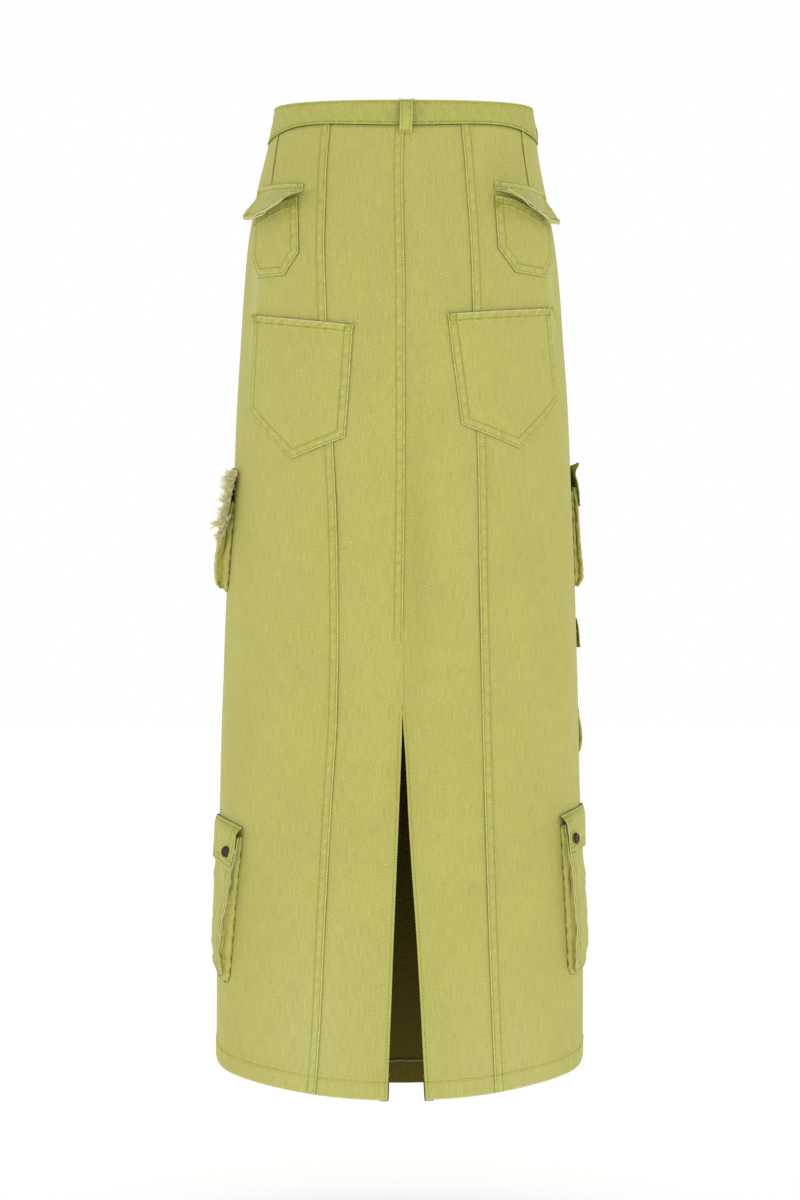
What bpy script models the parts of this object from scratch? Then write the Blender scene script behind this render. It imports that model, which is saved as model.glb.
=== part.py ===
"""A long cargo skirt in washed denim, filled out as if worn, built as its maker cuts and sews it.

Metres, +Z up. The origin is the centre of the waist. The wearer's front faces +Y and the back faces -Y.

Every piece is placed by two measures on the cloth: AROUND, the distance round the skirt from the centre
back, plus to the right as the back is seen, and HEIGHT above the waist line. skin() turns them into a point.
"""

import math
from collections import namedtuple
from functools import lru_cache

import bmesh
import bpy
import numpy as np
from mathutils import Vector

MM = 0.001

# ---------------------------------------------------------------- the body of the skirt, as a tape reads it
Section = namedtuple("Section", "height half_width centre back front")
SECTIONS = [
    Section(0.030, 0.1330, 0.0000, 0.0890, 0.0890),
    Section(0.000, 0.1378, 0.0000, 0.0925, 0.0925),
    Section(-0.035, 0.1440, -0.0018, 0.0975, 0.0965),
    Section(-0.070, 0.1515, -0.0028, 0.1030, 0.1010),
    Section(-0.130, 0.1620, -0.0024, 0.1110, 0.1080),
    Section(-0.180, 0.1668, -0.0019, 0.1150, 0.1100),
    Section(-0.230, 0.1700, -0.0019, 0.1175, 0.1115),
    Section(-0.290, 0.1737, -0.0015, 0.1190, 0.1135),
    Section(-0.355, 0.1769, -0.0015, 0.1195, 0.1150),
    Section(-0.500, 0.1838, -0.0030, 0.1205, 0.1170),
    Section(-0.670, 0.1890, -0.0040, 0.1215, 0.1190),
    Section(-0.900, 0.1930, -0.0040, 0.1225, 0.1215),
    Section(-1.040, 0.1932, -0.0050, 0.1225, 0.1225),
]
SQUARENESS = 2.15          # the power of the section's curve: 2 is an ellipse, more is squarer

WAIST_TOP = 0.0132         # the waistband's top edge at the centre back
WAIST_SEAM = -0.0134       # its lower edge there
WAIST_TOP_RISE = 3 * MM    # how far the top edge rises towards the sides
WAIST_SEAM_HUMP = 14 * MM  # the lower edge humps between back and side (a quarter of this at most)
WAIST_SEAM_DIP = 8 * MM    # and then dips at the side
HEM_BACK = -1.0120         # the hem at the centre back
HEM_FRONT = -1.0290        # the hem at the centre front
HEM_SIDE = -0.9800         # the hem at the side seams
SIDE_KICK = 9 * MM         # how much of that rise comes in the last stretch beside the seam
SLIT_TOP = -0.6160         # where the back seam ends and the slit starts

SEAM_GAP = 0.3 * MM        # between two pieces that are sewn edge to edge
CLOTH = 1.2 * MM           # one layer of denim
HEM_FOLD = 25 * MM         # the turned-up hem
HEM_STEP = 0.8 * MM        # how steeply its raw edge steps down
LAP = 10 * MM              # the seam allowance that a lapped seam is topstitched over
LAP_RISE = 0.8 * MM        # how far it lifts the cloth above it
LAY = 0.8 * MM             # the air between a panel and a piece that lies on it

# Seams, as a distance round the cloth from the centre back.
Seam = namedtuple("Seam", "height around")
BACK_SEAM_LEFT = [Seam(0.00, 0.0008), Seam(-0.20, 0.0028), Seam(SLIT_TOP, 0.0022), Seam(-0.70, 0.0000),
                  Seam(-0.783, -0.0033), Seam(-0.87, -0.0070), Seam(-0.94, -0.0096), Seam(-1.04, -0.0126)]
BACK_SEAM_RIGHT = [Seam(0.00, 0.0008), Seam(-0.20, 0.0028), Seam(SLIT_TOP, 0.0022), Seam(-0.66, 0.0050),
                   Seam(-0.755, 0.0102), Seam(-0.84, 0.0163), Seam(-0.955, 0.0231), Seam(-1.04, 0.0288)]
PRINCESS_LEFT = [Seam(0.00, -0.0768), Seam(-0.082, -0.0785), Seam(-0.14, -0.0802), Seam(-0.215, -0.0779),
                 Seam(-0.342, -0.0713), Seam(-0.45, -0.0657), Seam(-0.554, -0.0637), Seam(-0.625, -0.0647),
                 Seam(-0.71, -0.0700), Seam(-0.84, -0.0773), Seam(-0.95, -0.0826), Seam(-1.04, -0.0890)]
PRINCESS_RIGHT = [Seam(0.00, 0.0580), Seam(-0.053, 0.0658), Seam(-0.136, 0.0712), Seam(-0.204, 0.0730),
                  Seam(-0.332, 0.0770), Seam(-0.476, 0.0807), Seam(-0.606, 0.0844), Seam(-0.737, 0.0882),
                  Seam(-0.885, 0.0932), Seam(-1.04, 0.1010)]
FRONT_SEAM = [Seam(0.00, 0.072), Seam(-0.23, 0.084), Seam(-0.60, 0.090), Seam(-1.04, 0.100)]  # from the front

# Soft folds: how deep the cloth falls in (minus) or stands out (plus), and over what width and length.
Fold = namedtuple("Fold", "around height half_width half_length depth")
FOLDS = [
    Fold(0.004, -0.370, 0.026, 0.150, -0.0030),
    Fold(-0.158, -0.560, 0.020, 0.260, 0.0020),
    Fold(0.148, -0.640, 0.024, 0.240, 0.0018),
    Fold(-0.122, -0.860, 0.026, 0.180, -0.0018),
    Fold(0.138, -0.900, 0.028, 0.160, -0.0016),
    Fold(0.330, -0.560, 0.030, 0.240, 0.0030),
    Fold(-0.380, -0.640, 0.034, 0.260, 0.0030),
    Fold(0.430, -0.800, 0.030, 0.240, -0.0028),
    Fold(-0.460, -0.420, 0.028, 0.200, -0.0026),
]


class Curve:
    """A smooth curve through the rows of a short table, read at any height. It never overshoots a row."""

    def __init__(self, heights, values):
        order = np.argsort(heights)
        self.heights = np.array(heights, dtype=float)[order]
        self.values = np.array(values, dtype=float)[order]
        steep = np.diff(self.values) / np.diff(self.heights)
        before, after = steep[:-1], steep[1:]
        same_way = before * after > 0
        between = np.where(same_way, 2 * before * after / np.where(same_way, before + after, 1), 0)
        self.slopes = np.concatenate([steep[:1], between, steep[-1:]])

    def __call__(self, height):
        height = min(max(height, self.heights[0]), self.heights[-1])
        row = min(int(np.searchsorted(self.heights, height, side="right")) - 1, len(self.heights) - 2)
        step = self.heights[row + 1] - self.heights[row]
        part = (height - self.heights[row]) / step
        rest = 1 - part
        return float(rest * rest * (1 + 2 * part) * self.values[row]
                     + part * part * (3 - 2 * part) * self.values[row + 1]
                     + part * rest * rest * step * self.slopes[row]
                     - part * part * rest * step * self.slopes[row + 1])


def table_curve(table, column):
    return Curve([row.height for row in table], [getattr(row, column) for row in table])


HALF_WIDTH = table_curve(SECTIONS, "half_width")
CENTRE = table_curve(SECTIONS, "centre")
BACK_DEPTH = table_curve(SECTIONS, "back")
FRONT_DEPTH = table_curve(SECTIONS, "front")
TURNS = np.radians(np.arange(0, 182, 2))


def section_point(turn, height):
    """Across and forward of the axis, at a turn in radians from the centre back."""
    sine, cosine = math.sin(turn), math.cos(turn)
    depth = BACK_DEPTH(height) if cosine > 0 else FRONT_DEPTH(height)
    across = math.copysign(abs(sine) ** (2 / SQUARENESS), sine) * HALF_WIDTH(height)
    forward = -math.copysign(abs(cosine) ** (2 / SQUARENESS), cosine) * depth
    return across, forward


@lru_cache(maxsize=None)
def tape(height):
    """The distance round the cloth from centre back to each of TURNS, at one height."""
    points = np.array([section_point(turn, height) for turn in TURNS])
    steps = np.hypot(*np.diff(points, axis=0).T)
    return np.concatenate([[0.0], np.cumsum(steps)])


def half_girth(height):
    return float(tape(round(height, 4))[-1])


def side_seam(height):
    return float(tape(round(height, 4))[len(TURNS) // 2])


def turn_at(around, height):
    """The turn in radians where a distance round the cloth lies. It may run on past the centre front."""
    lengths = tape(round(height, 4))
    full = 2 * lengths[-1]
    around = (around + full / 2) % full - full / 2
    return math.copysign(float(np.interp(abs(around), lengths, TURNS)), around)


def fold_depth(around, height):
    full = 2 * half_girth(height)
    depth = 0.0
    for fold in FOLDS:
        apart = (around - fold.around + full / 2) % full - full / 2
        reach = (apart / fold.half_width) ** 2 + ((height - fold.height) / fold.half_length) ** 2
        depth += fold.depth * math.exp(-reach)
    return depth


def outward(turn, height):
    """The direction straight out of the cloth."""
    sine, cosine = math.sin(turn), math.cos(turn)
    bend = 2 * (SQUARENESS - 1) / SQUARENESS
    depth = BACK_DEPTH(height) if cosine > 0 else FRONT_DEPTH(height)
    across = math.copysign(abs(sine) ** bend, sine) / HALF_WIDTH(height)
    forward = -math.copysign(abs(cosine) ** bend, cosine) / depth
    flat = Vector((across, forward, 0)).normalized()
    step = 2 * MM
    above = Vector((*section_point(turn, height + step), 0))
    below = Vector((*section_point(turn, height - step), 0))
    flat.z = flat.dot(below - above) / (2 * step)
    return flat.normalized()


def skin(around, height, out=0.0):
    """The point on the cloth's face at these two measures, or so far out from it."""
    turn = turn_at(around, height)
    across, forward = section_point(turn, height)
    on_face = Vector((across + CENTRE(height), forward, height))
    return on_face + outward(turn, height) * (out + fold_depth(around, height))


# ---------------------------------------------------------------- level lines round the skirt
def waist_top(around):
    side = math.sin(turn_at(around, 0.0)) ** 2
    return WAIST_TOP + WAIST_TOP_RISE * side


def waist_seam(around):
    side = math.sin(turn_at(around, WAIST_SEAM)) ** 2
    return WAIST_SEAM + WAIST_SEAM_HUMP * side * (1 - side) - WAIST_SEAM_DIP * side ** 4


def hem(around):
    turn = turn_at(around, HEM_BACK)
    side = math.sin(turn) ** 2
    centre = HEM_BACK if math.cos(turn) > 0 else HEM_FRONT
    rise = HEM_SIDE - centre
    return centre + (rise - SIDE_KICK) * side + SIDE_KICK * side ** 24


# ---------------------------------------------------------------- making a piece
def material(name, colour, roughness, metallic=0.0):
    made = bpy.data.materials.new(name)
    made.use_nodes = True
    shader = made.node_tree.nodes["Principled BSDF"]
    shader.inputs["Base Color"].default_value = (*colour, 1)
    shader.inputs["Roughness"].default_value = roughness
    shader.inputs["Metallic"].default_value = metallic
    made.diffuse_color = (*colour, 1)
    return made


def add_piece(name, bm, finish):
    """Finish a closed bmesh as an object of its own."""
    bmesh.ops.recalc_face_normals(bm, faces=bm.faces[:])
    if bm.calc_volume(signed=True) < 0:
        bmesh.ops.reverse_faces(bm, faces=bm.faces[:])
    mesh = bpy.data.meshes.new(name)
    bm.to_mesh(mesh)
    bm.free()
    mesh.materials.append(finish)
    piece = bpy.data.objects.new(name, mesh)
    bpy.context.scene.collection.objects.link(piece)
    return piece


def add_wall(bm, columns, rows, place):
    """Add a closed wall of cloth. place(column, row) gives its outer and its inner point."""
    made = bmesh.ops.create_grid(bm, x_segments=len(columns) - 1, y_segments=len(rows) - 1, size=0.5)
    inner = made["verts"]
    faces = list({face for vert in inner for face in vert.link_faces})
    grown = bmesh.ops.extrude_face_region(bm, geom=faces)["geom"]
    outer = [part for part in grown if isinstance(part, bmesh.types.BMVert)]
    for side, verts in enumerate((outer, inner)):
        for vert in verts:
            column = columns[round((vert.co.x + 0.5) * (len(columns) - 1))]
            row = rows[round((0.5 - vert.co.y) * (len(rows) - 1))]
            vert.co = place(column, row)[side]


def wall_piece(name, columns, rows, place, finish):
    bm = bmesh.new()
    add_wall(bm, columns, rows, place)
    return add_piece(name, bm, finish)


def spread(first, last, count):
    """Count even steps from first to last."""
    return [first + (last - first) * step / count for step in range(count + 1)]


def steps_between(start, end, count):
    """Count even steps from one row of a table to the next, without the first row."""
    return [tuple(a + (b - a) * step / count for a, b in zip(start, end)) for step in range(1, count + 1)]


def subdivided(corners, longest):
    """Points along a run of corners, none further apart than longest."""
    points = [corners[0]]
    for start, end in zip(corners, corners[1:]):
        length = math.dist(start, end)
        count = max(1, math.ceil(length / longest))
        points += steps_between(start, end, count)
    return points


# ---------------------------------------------------------------- the panels
Column = namedtuple("Column", "part offset")     # part of the way from the first edge to the last, and metres
ROWS = [Column(part, 0.0) for part in
        [0, 0.03, 0.065, 0.105, 0.15, 0.2, 0.26, 0.32, 0.39, 0.46, 0.53, 0.6, 0.67, 0.74, 0.81, 0.88, 0.94]]
ROWS += [Column(1, HEM_FOLD + HEM_STEP), Column(1, HEM_FOLD), Column(1, 0.0)]


def panel_columns(count, lap_first=False, lap_last=False):
    columns = [Column(part, 0.0) for part in spread(0, 1, count)]
    if lap_first:
        columns[1:1] = [Column(0, LAP), Column(0, LAP + LAP_RISE)]
    if lap_last:
        columns[-1:-1] = [Column(1, -LAP - LAP_RISE), Column(1, -LAP)]
    return columns


def panel(name, first_edge, last_edge, count, lap_first=False, lap_last=False):
    """A panel between two seams, from the waistband to the hem, with its hem turned up inside."""
    def around_at(column, height):
        first = first_edge(height) + SEAM_GAP / 2
        last = last_edge(height) - SEAM_GAP / 2
        return first + (last - first) * column.part + column.offset

    def place(column, row):
        top = waist_seam(around_at(column, WAIST_SEAM)) - 2 * SEAM_GAP
        foot = hem(around_at(column, HEM_BACK))
        height = top + (foot - top) * row.part + row.offset
        around = around_at(column, height)
        lapped = (lap_first and column.part == 0 and column.offset <= LAP
                  or lap_last and column.part == 1 and column.offset >= -LAP)
        turned_up = row.part == 1 and row.offset <= HEM_FOLD
        return (skin(around, height, LAP_RISE if lapped else 0.0),
                skin(around, height, -2 * CLOTH if turned_up else -CLOTH))

    return wall_piece(name, panel_columns(count, lap_first, lap_last), ROWS, place, DENIM)


FROM_FRONT = table_curve(FRONT_SEAM, "around")


def front_seam_right(height):
    return half_girth(height) - FROM_FRONT(height)


def front_seam_left(height):
    """The left front seam, counted on past the centre front."""
    return half_girth(height) + FROM_FRONT(height)


PRINCESS_LINES = {
    "left": table_curve(PRINCESS_LEFT, "around"),
    "right": table_curve(PRINCESS_RIGHT, "around"),
}


def build_panels():
    back_left = table_curve(BACK_SEAM_LEFT, "around")
    back_right = table_curve(BACK_SEAM_RIGHT, "around")
    princess_left, princess_right = PRINCESS_LINES["left"], PRINCESS_LINES["right"]
    panel("back_centre_left", princess_left, back_left, 5, lap_last=True)
    panel("back_centre_right", back_right, princess_right, 6)
    panel("back_side_left", lambda height: -side_seam(height), princess_left, 10, lap_last=True)
    panel("back_side_right", princess_right, side_seam, 10, lap_first=True)
    panel("front_side_right", side_seam, front_seam_right, 8)
    panel("front_centre", front_seam_right, front_seam_left, 10)
    panel("front_side_left", lambda height: -front_seam_right(height), lambda height: -side_seam(height), 8)


# ---------------------------------------------------------------- the waist
BAND_OUT = 1.0 * MM        # the band's face stands this far outside the panels' faces
BAND_THICK = 2.6 * MM
UNDERLAP = 22 * MM         # how far the band's under end runs past the centre front
OVERLAP = 18 * MM          # and its upper end, the other way
OVERLAP_RISE = 30 * MM     # the length over which the upper end climbs onto the under end
UNDERLAP_CLEAR = 0.6 * MM  # the air between the two ends
WAIST_BUTTON = 1.4         # the waist button's size beside the pockets' buttons


def build_waistband():
    girth = half_girth(0.0)
    start, end = -girth - UNDERLAP, girth + OVERLAP
    climb = BAND_THICK + UNDERLAP_CLEAR

    def place(around, part):
        top, foot = waist_top(around), waist_seam(around) + SEAM_GAP / 2
        height = top + (foot - top) * part
        lifted = min(max((around - (girth - UNDERLAP - OVERLAP_RISE)) / OVERLAP_RISE, 0), 1)
        out = BAND_OUT + climb * lifted * lifted * (3 - 2 * lifted)
        return skin(around, height, out), skin(around, height, out - BAND_THICK)

    columns = spread(start, end, 54)
    wall_piece("waistband", columns, [0, 0.5, 1], place, DENIM)


# Belt loops: strips sewn down at both ends, with room for a belt behind them.
LOOP_WIDTH = 13 * MM
LOOP_THICK = 1.8 * MM
LOOP_STAND = 6.2 * MM      # the room for a belt between the band and the loop
LOOP_DROP = 9 * MM         # how far the loop runs past the band's lower edge
LOOP_BELOW_TOP = 0.6 * MM  # how far its top edge lies below the band's
LOOP_BACK = 2.6 * MM       # the middles of the loops: from the centre back,
LOOP_SIDE_RIGHT = 33 * MM  # forward of each side seam,
LOOP_SIDE_LEFT = 46 * MM
LOOP_FRONT = 70 * MM       # and back from the centre front
LOOP_PARTS = [0, 0.08, 0.2, 0.36, 0.5, 0.64, 0.8, 0.92, 1]


def build_belt_loop(name, middle):
    share = middle / half_girth(0.0)

    def place(across, part):
        top = waist_top(middle) - LOOP_BELOW_TOP
        foot = waist_seam(middle) - LOOP_DROP
        height = top + (foot - top) * part
        around = share * half_girth(height) + across
        rest = BAND_OUT + SEAM_GAP if part < 0.75 else LAY + LAP_RISE
        arch = math.sin(math.pi * part) ** 0.7 if 0 < part < 1 else 0.0
        out = rest + (LOOP_STAND + BAND_OUT - rest) * arch
        return skin(around, height, out + LOOP_THICK), skin(around, height, out)

    wall_piece(name, [-LOOP_WIDTH / 2, 0, LOOP_WIDTH / 2], LOOP_PARTS, place, DENIM)


def build_belt_loops():
    side, front = side_seam(0.0), half_girth(0.0)
    build_belt_loop("belt_loop_back", LOOP_BACK)
    build_belt_loop("belt_loop_side_right", side + LOOP_SIDE_RIGHT)
    build_belt_loop("belt_loop_side_left", -side - LOOP_SIDE_LEFT)
    build_belt_loop("belt_loop_front_right", front - LOOP_FRONT)
    build_belt_loop("belt_loop_front_left", LOOP_FRONT - front)


# A button is turned on its own axis: radius and height above the cloth, from the middle of its top outwards.
Ring = namedtuple("Ring", "radius rise")
BUTTON_RADIUS = 6 * MM
BUTTON_RINGS = [
    Ring(0.45, 0.0018),
    Ring(0.62, 0.0026),
    Ring(0.86, 0.0029),
    Ring(1.0, 0.0018),
    Ring(1.0, 0.0007),
    Ring(0.8, 0.0),
]
BUTTON_SIDES = 12
BUTTON_CLEAR = 0.7 * MM    # its flat back lies on rounded cloth


def build_button(name, seat, up, size=1.0):
    """A domed metal button with a sunk middle, its back at seat and facing up."""
    centre = seat + up * BUTTON_CLEAR * size
    side = up.cross(Vector((0, 0, 1))).normalized()
    other = up.cross(side)
    bm = bmesh.new()
    rings = []
    for ring in BUTTON_RINGS:
        reach = ring.radius * BUTTON_RADIUS * size
        middle = centre + up * ring.rise * size
        verts = []
        for step in range(BUTTON_SIDES):
            turn = 2 * math.pi * step / BUTTON_SIDES
            verts.append(bm.verts.new(middle + (side * math.cos(turn) + other * math.sin(turn)) * reach))
        rings.append([bm.edges.new((verts[step - 1], verts[step])) for step in range(BUTTON_SIDES)])
    for first, second in zip(rings, rings[1:]):
        bmesh.ops.bridge_loops(bm, edges=first + second)
    bmesh.ops.contextual_create(bm, geom=rings[0])
    bmesh.ops.contextual_create(bm, geom=rings[-1])
    return add_piece(name, bm, METAL)


# ---------------------------------------------------------------- flat pieces on the cloth
Line = namedtuple("Line", "top_around top_height foot_around foot_height")
PATCH_THICK = 1.4 * MM
PATCH_HEM = 9 * MM
PATCH_HEM_RISE = 0.7 * MM
PATCH_HEM_STEP = 0.7 * MM
STEP = 15 * MM             # the longest step across a piece that lies on the round of the skirt

HIP_POCKETS = {
    "hip_pocket_left": [
        Line(-0.1800, -0.1045, -0.1790, -0.1480),
        Line(-0.1660, -0.1000, -0.1655, -0.1668),
        Line(-0.1270, -0.0890, -0.1272, -0.1668),
        Line(-0.1105, -0.0860, -0.1090, -0.1440)],
    "hip_pocket_right": [
        Line(0.0985, -0.0850, 0.1014, -0.1400),
        Line(0.1190, -0.0870, 0.1221, -0.1640),
        Line(0.1640, -0.1020, 0.1645, -0.1664),
        Line(0.1850, -0.1115, 0.1832, -0.1440)],
}
PATCH_POCKETS = {
    "patch_pocket_left": [
        Line(-0.1710, -0.2055, -0.1768, -0.3036),
        Line(-0.1110, -0.2128, -0.1174, -0.3568),
        Line(-0.0497, -0.2202, -0.0584, -0.3354)],
    "patch_pocket_right": [
        Line(0.0461, -0.2091, 0.0604, -0.3224),
        Line(0.1088, -0.2037, 0.1243, -0.3455),
        Line(0.1715, -0.1983, 0.1827, -0.2945)],
}


LAP_REACH = 26 * MM        # how far to each side a pocket is lifted by a lapped seam beneath it


def lap_lift(around, height):
    """How far the lapped seam under a pocket lifts it."""
    seam = (PRINCESS_LINES["left"](height) - LAP / 2, PRINCESS_LINES["right"](height) + LAP / 2)
    apart = min(abs(around - middle) for middle in seam)
    return LAP_RISE * min(max(2 * (LAP_REACH - apart) / LAP_REACH, 0), 1)


def build_patch(name, lines):
    """A pocket that lies flat on a panel, ruled between its top edge and its foot, its mouth hemmed."""
    ruled = subdivided(lines, STEP)
    last = len(ruled) - 1

    def place(column, row):
        line = Line(*ruled[column])
        top = (line.top_around, line.top_height)
        foot = (line.foot_around, line.foot_height)
        part = row.part + row.offset / math.dist(top, foot)
        around, height = (a + (b - a) * part for a, b in zip(top, foot))
        hemmed = row.part == 0 and row.offset <= PATCH_HEM
        lay = LAY + lap_lift(around, height)
        out = lay + PATCH_THICK + (PATCH_HEM_RISE if hemmed else 0)
        return skin(around, height, out), skin(around, height, lay)

    rows = [Column(0, 0), Column(0, PATCH_HEM), Column(0, PATCH_HEM + PATCH_HEM_STEP)]
    rows += [Column(part, 0) for part in (0.3, 0.55, 0.8, 1)]
    wall_piece(name, list(range(last + 1)), rows, place, DENIM)


# Flaps that stand away from the skirt. lift is the angle that the flap makes with the hanging cloth.
Hang = namedtuple("Hang", "around height lift end_lean")
HIP_FLAPS = {
    "hip_flap_left": [
        Hang(-0.1840, -0.0765, 16, -0.006),
        Hang(-0.1640, -0.0712, 14, 0.000),
        Hang(-0.1420, -0.0708, 29, 0.000),
        Hang(-0.1160, -0.0716, 52, 0.000),
        Hang(-0.1040, -0.0722, 70, 0.000)],
    "hip_flap_right": [
        Hang(0.0993, -0.0708, 68, 0.000),
        Hang(0.1240, -0.0712, 50, 0.000),
        Hang(0.1500, -0.0732, 33, 0.000),
        Hang(0.1640, -0.0752, 19, 0.000),
        Hang(0.1890, -0.0810, 10, 0.006)],
}
FLAP_LENGTH = 36 * MM
FLAP_THICK = 1.8 * MM
FLAP_FLAT = 6 * MM         # the stitched strip at its top, which lies on the skirt
FLAP_BEND = 7 * MM         # the length over which it then turns outwards
FLAP_STRIDES = 24          # its curve is walked in this many strides
FLAP_PARTS = [0, 0.08, 0.17, 0.25, 0.36, 0.5, 0.67, 0.83, 1]


def flap_point(hang, along, thick):
    """A point of a standing flap: its underside, or its face where thick is its thickness."""
    start = skin(hang.around, hang.height, LAY)
    normal = (skin(hang.around, hang.height, LAY + 5 * MM) - start).normalized()
    down = (skin(hang.around, hang.height - 8 * MM, LAY) - start).normalized()
    beside = (skin(hang.around + 5 * MM, hang.height, LAY) - start).normalized()

    def slope(travelled):
        return math.radians(hang.lift) * min(max((travelled - FLAP_FLAT) / FLAP_BEND, 0), 1)

    spot = start + beside * hang.end_lean * along / FLAP_LENGTH
    for step in range(FLAP_STRIDES):
        angle = slope(along * (step + 0.5) / FLAP_STRIDES)
        spot += (down * math.cos(angle) + normal * math.sin(angle)) * along / FLAP_STRIDES
    angle = slope(along)
    return spot + (normal * math.cos(angle) - down * math.sin(angle)) * thick


def build_hip_flap(name, hangs):
    ruled = [Hang(*row) for row in subdivided_hangs(hangs)]

    def place(column, part):
        hang = ruled[column]
        return flap_point(hang, FLAP_LENGTH * part, FLAP_THICK), flap_point(hang, FLAP_LENGTH * part, 0)

    wall_piece(name, list(range(len(ruled))), FLAP_PARTS, place, DENIM)


def subdivided_hangs(hangs):
    """The rows of a flap, with rows between them so that none lie further apart than STEP."""
    rows = [hangs[0]]
    for start, end in zip(hangs, hangs[1:]):
        count = max(1, math.ceil((end.around - start.around) / STEP))
        rows += steps_between(start, end, count)
    return rows


# ---------------------------------------------------------------- bellows pockets
# back_edge is the distance of the back edge from the centre back, at the mouth. The edge leans forward by lean
# for each metre down. The mouth arches up by arch in its middle, as level lines do where the cloth rounds
# the hip. edge_top, edge_foot and middle say how far the face stands off the skirt.
Cargo = namedtuple("Cargo", "side back_edge lean mouth depth width arch edge_top edge_foot middle")
CARGO = {
    "mid_cargo_left": Cargo(-1, 0.208, 0.14, -0.3985, 0.097, 0.128, 0.004, 0.010, 0.0105, 0.0078),
    "mid_cargo_right": Cargo(1, 0.240, 0.03, -0.3830, 0.105, 0.128, 0.004, 0.009, 0.0100, 0.0068),
    "thigh_cargo_right": Cargo(1, 0.263, 0.03, -0.5320, 0.132, 0.120, 0.000, 0.005, 0.0085, 0.0042),
    "low_cargo_left": Cargo(-1, 0.175, 0.14, -0.7470, 0.160, 0.134, 0.010, 0.009, 0.0170, 0.0018),
    "low_cargo_right": Cargo(1, 0.180, 0.08, -0.7350, 0.160, 0.134, 0.009, 0.009, 0.0160, 0.0018),
}
CARGO_FACE = 1.3 * MM
CARGO_CORNER = 14 * MM
CARGO_HEM = 12 * MM


def on_pocket(cargo, across, down):
    """Where a place on a pocket lies on the cloth: across from its back edge, and down from its mouth."""
    off_middle = 2 * across / cargo.width - 1
    around = cargo.back_edge + across + cargo.lean * down * (1 - across / cargo.width)
    return cargo.side * around, cargo.mouth - down + cargo.arch * (1 - off_middle * off_middle)


def stand_off(cargo, across, down):
    """How far a pocket's face stands off the skirt: it is drawn flat across the round of the side."""
    edge = cargo.edge_top + (cargo.edge_foot - cargo.edge_top) * down / cargo.depth
    off_middle = 2 * across / cargo.width - 1
    return cargo.middle + (edge - cargo.middle) * off_middle * off_middle


def foot_line(cargo):
    """The foot of a pocket with its rounded corners: how far across, and how far up from its lowest."""
    corner = CARGO_CORNER
    feet = [(0, corner), (0.3 * corner, 0.3 * corner), (corner, 0), (cargo.width - corner, 0),
            (cargo.width - 0.3 * corner, 0.3 * corner), (cargo.width, corner)]
    return subdivided(feet, STEP)


def build_cargo_face(name, cargo):
    ruled = foot_line(cargo)

    def place(column, row):
        across, short = ruled[column]
        down = (cargo.depth - short) * row.part + row.offset
        out = stand_off(cargo, across, down)
        thick = CARGO_FACE + (PATCH_HEM_RISE if row.part == 0 and row.offset <= CARGO_HEM else 0)
        measures = on_pocket(cargo, across, down)
        return skin(*measures, out + thick), skin(*measures, out)

    rows = [Column(0, 0), Column(0, CARGO_HEM), Column(0, CARGO_HEM + PATCH_HEM_STEP)]
    rows += [Column(part, 0) for part in (0.3, 0.55, 0.8, 1)]
    wall_piece(name + "_face", list(range(len(ruled))), rows, place, DENIM)


def build_cargo_gusset(name, cargo):
    """The strip that joins the face to the skirt, down one side, along the foot and up the other."""
    straight = spread(0, cargo.depth - CARGO_CORNER, 5)[:-1]
    path = [(0, down) for down in straight]
    path += [(across, cargo.depth - short) for across, short in foot_line(cargo)]
    path += [(cargo.width, down) for down in reversed(straight)]

    def inside(column):
        """The unit step from the path towards the inside of the pocket."""
        before, after = path[max(column - 1, 0)], path[min(column + 1, len(path) - 1)]
        length = math.dist(before, after)
        return (after[1] - before[1]) / length, -(after[0] - before[0]) / length

    def rise(spot, part):
        out = LAY + (stand_off(cargo, *spot) - SEAM_GAP - LAY) * part
        return skin(*on_pocket(cargo, *spot), out)

    def place(column, part):
        inward = inside(column)
        inner = tuple(spot + way * CLOTH for spot, way in zip(path[column], inward))
        return rise(path[column], part), rise(inner, part)

    wall_piece(name + "_gusset", list(range(len(path))), [0, 1], place, DENIM)


# The flaps of the bellows pockets: how far the ends and the middle of the lower edge stand off the skirt.
Cover = namedtuple("Cover", "above length back_overhang front_overhang end_out middle_out")
COVERS = {
    "mid_cargo_left": Cover(0.033, 0.076, 0.002, 0.003, 0.0125, 0.0115),
    "mid_cargo_right": Cover(0.022, 0.042, 0.002, 0.003, 0.0117, 0.0092),
    "thigh_cargo_right": Cover(0.012, 0.032, 0.002, 0.003, 0.0085, 0.0064),
    "low_cargo_left": Cover(0.010, 0.045, 0.002, 0.002, 0.0180, 0.0044),
    "low_cargo_right": Cover(0.010, 0.043, 0.002, 0.002, 0.0160, 0.0044),
}
COVER_THICK = 1.6 * MM
COVER_CLEAR = 1 * MM       # the air between a flap and the pocket's hemmed mouth


def cover_out(cargo, cover, across, along):
    """How far the inner side of a flap stands off the skirt, at a distance along it from its top edge."""
    off_middle = min(max(2 * across / cargo.width - 1, -1), 1)
    end = cover.middle_out + (cover.end_out - cover.middle_out) * off_middle * off_middle
    mouth = stand_off(cargo, min(max(across, 0), cargo.width), 0) + CARGO_FACE + PATCH_HEM_RISE + COVER_CLEAR
    if along <= cover.above:
        part = along / cover.above
        return LAY + (mouth - LAY) * math.sin(math.pi / 2 * part)
    part = (along - cover.above) / (cover.length - cover.above)
    return mouth + (end - mouth) * part


def cover_point(cargo, cover, across, along, thick=0.0):
    """A point of a pocket flap: its inner side, or its face where thick is its thickness."""
    measures = on_pocket(cargo, across, along - cover.above)
    return skin(*measures, cover_out(cargo, cover, across, along) + thick)


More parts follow.
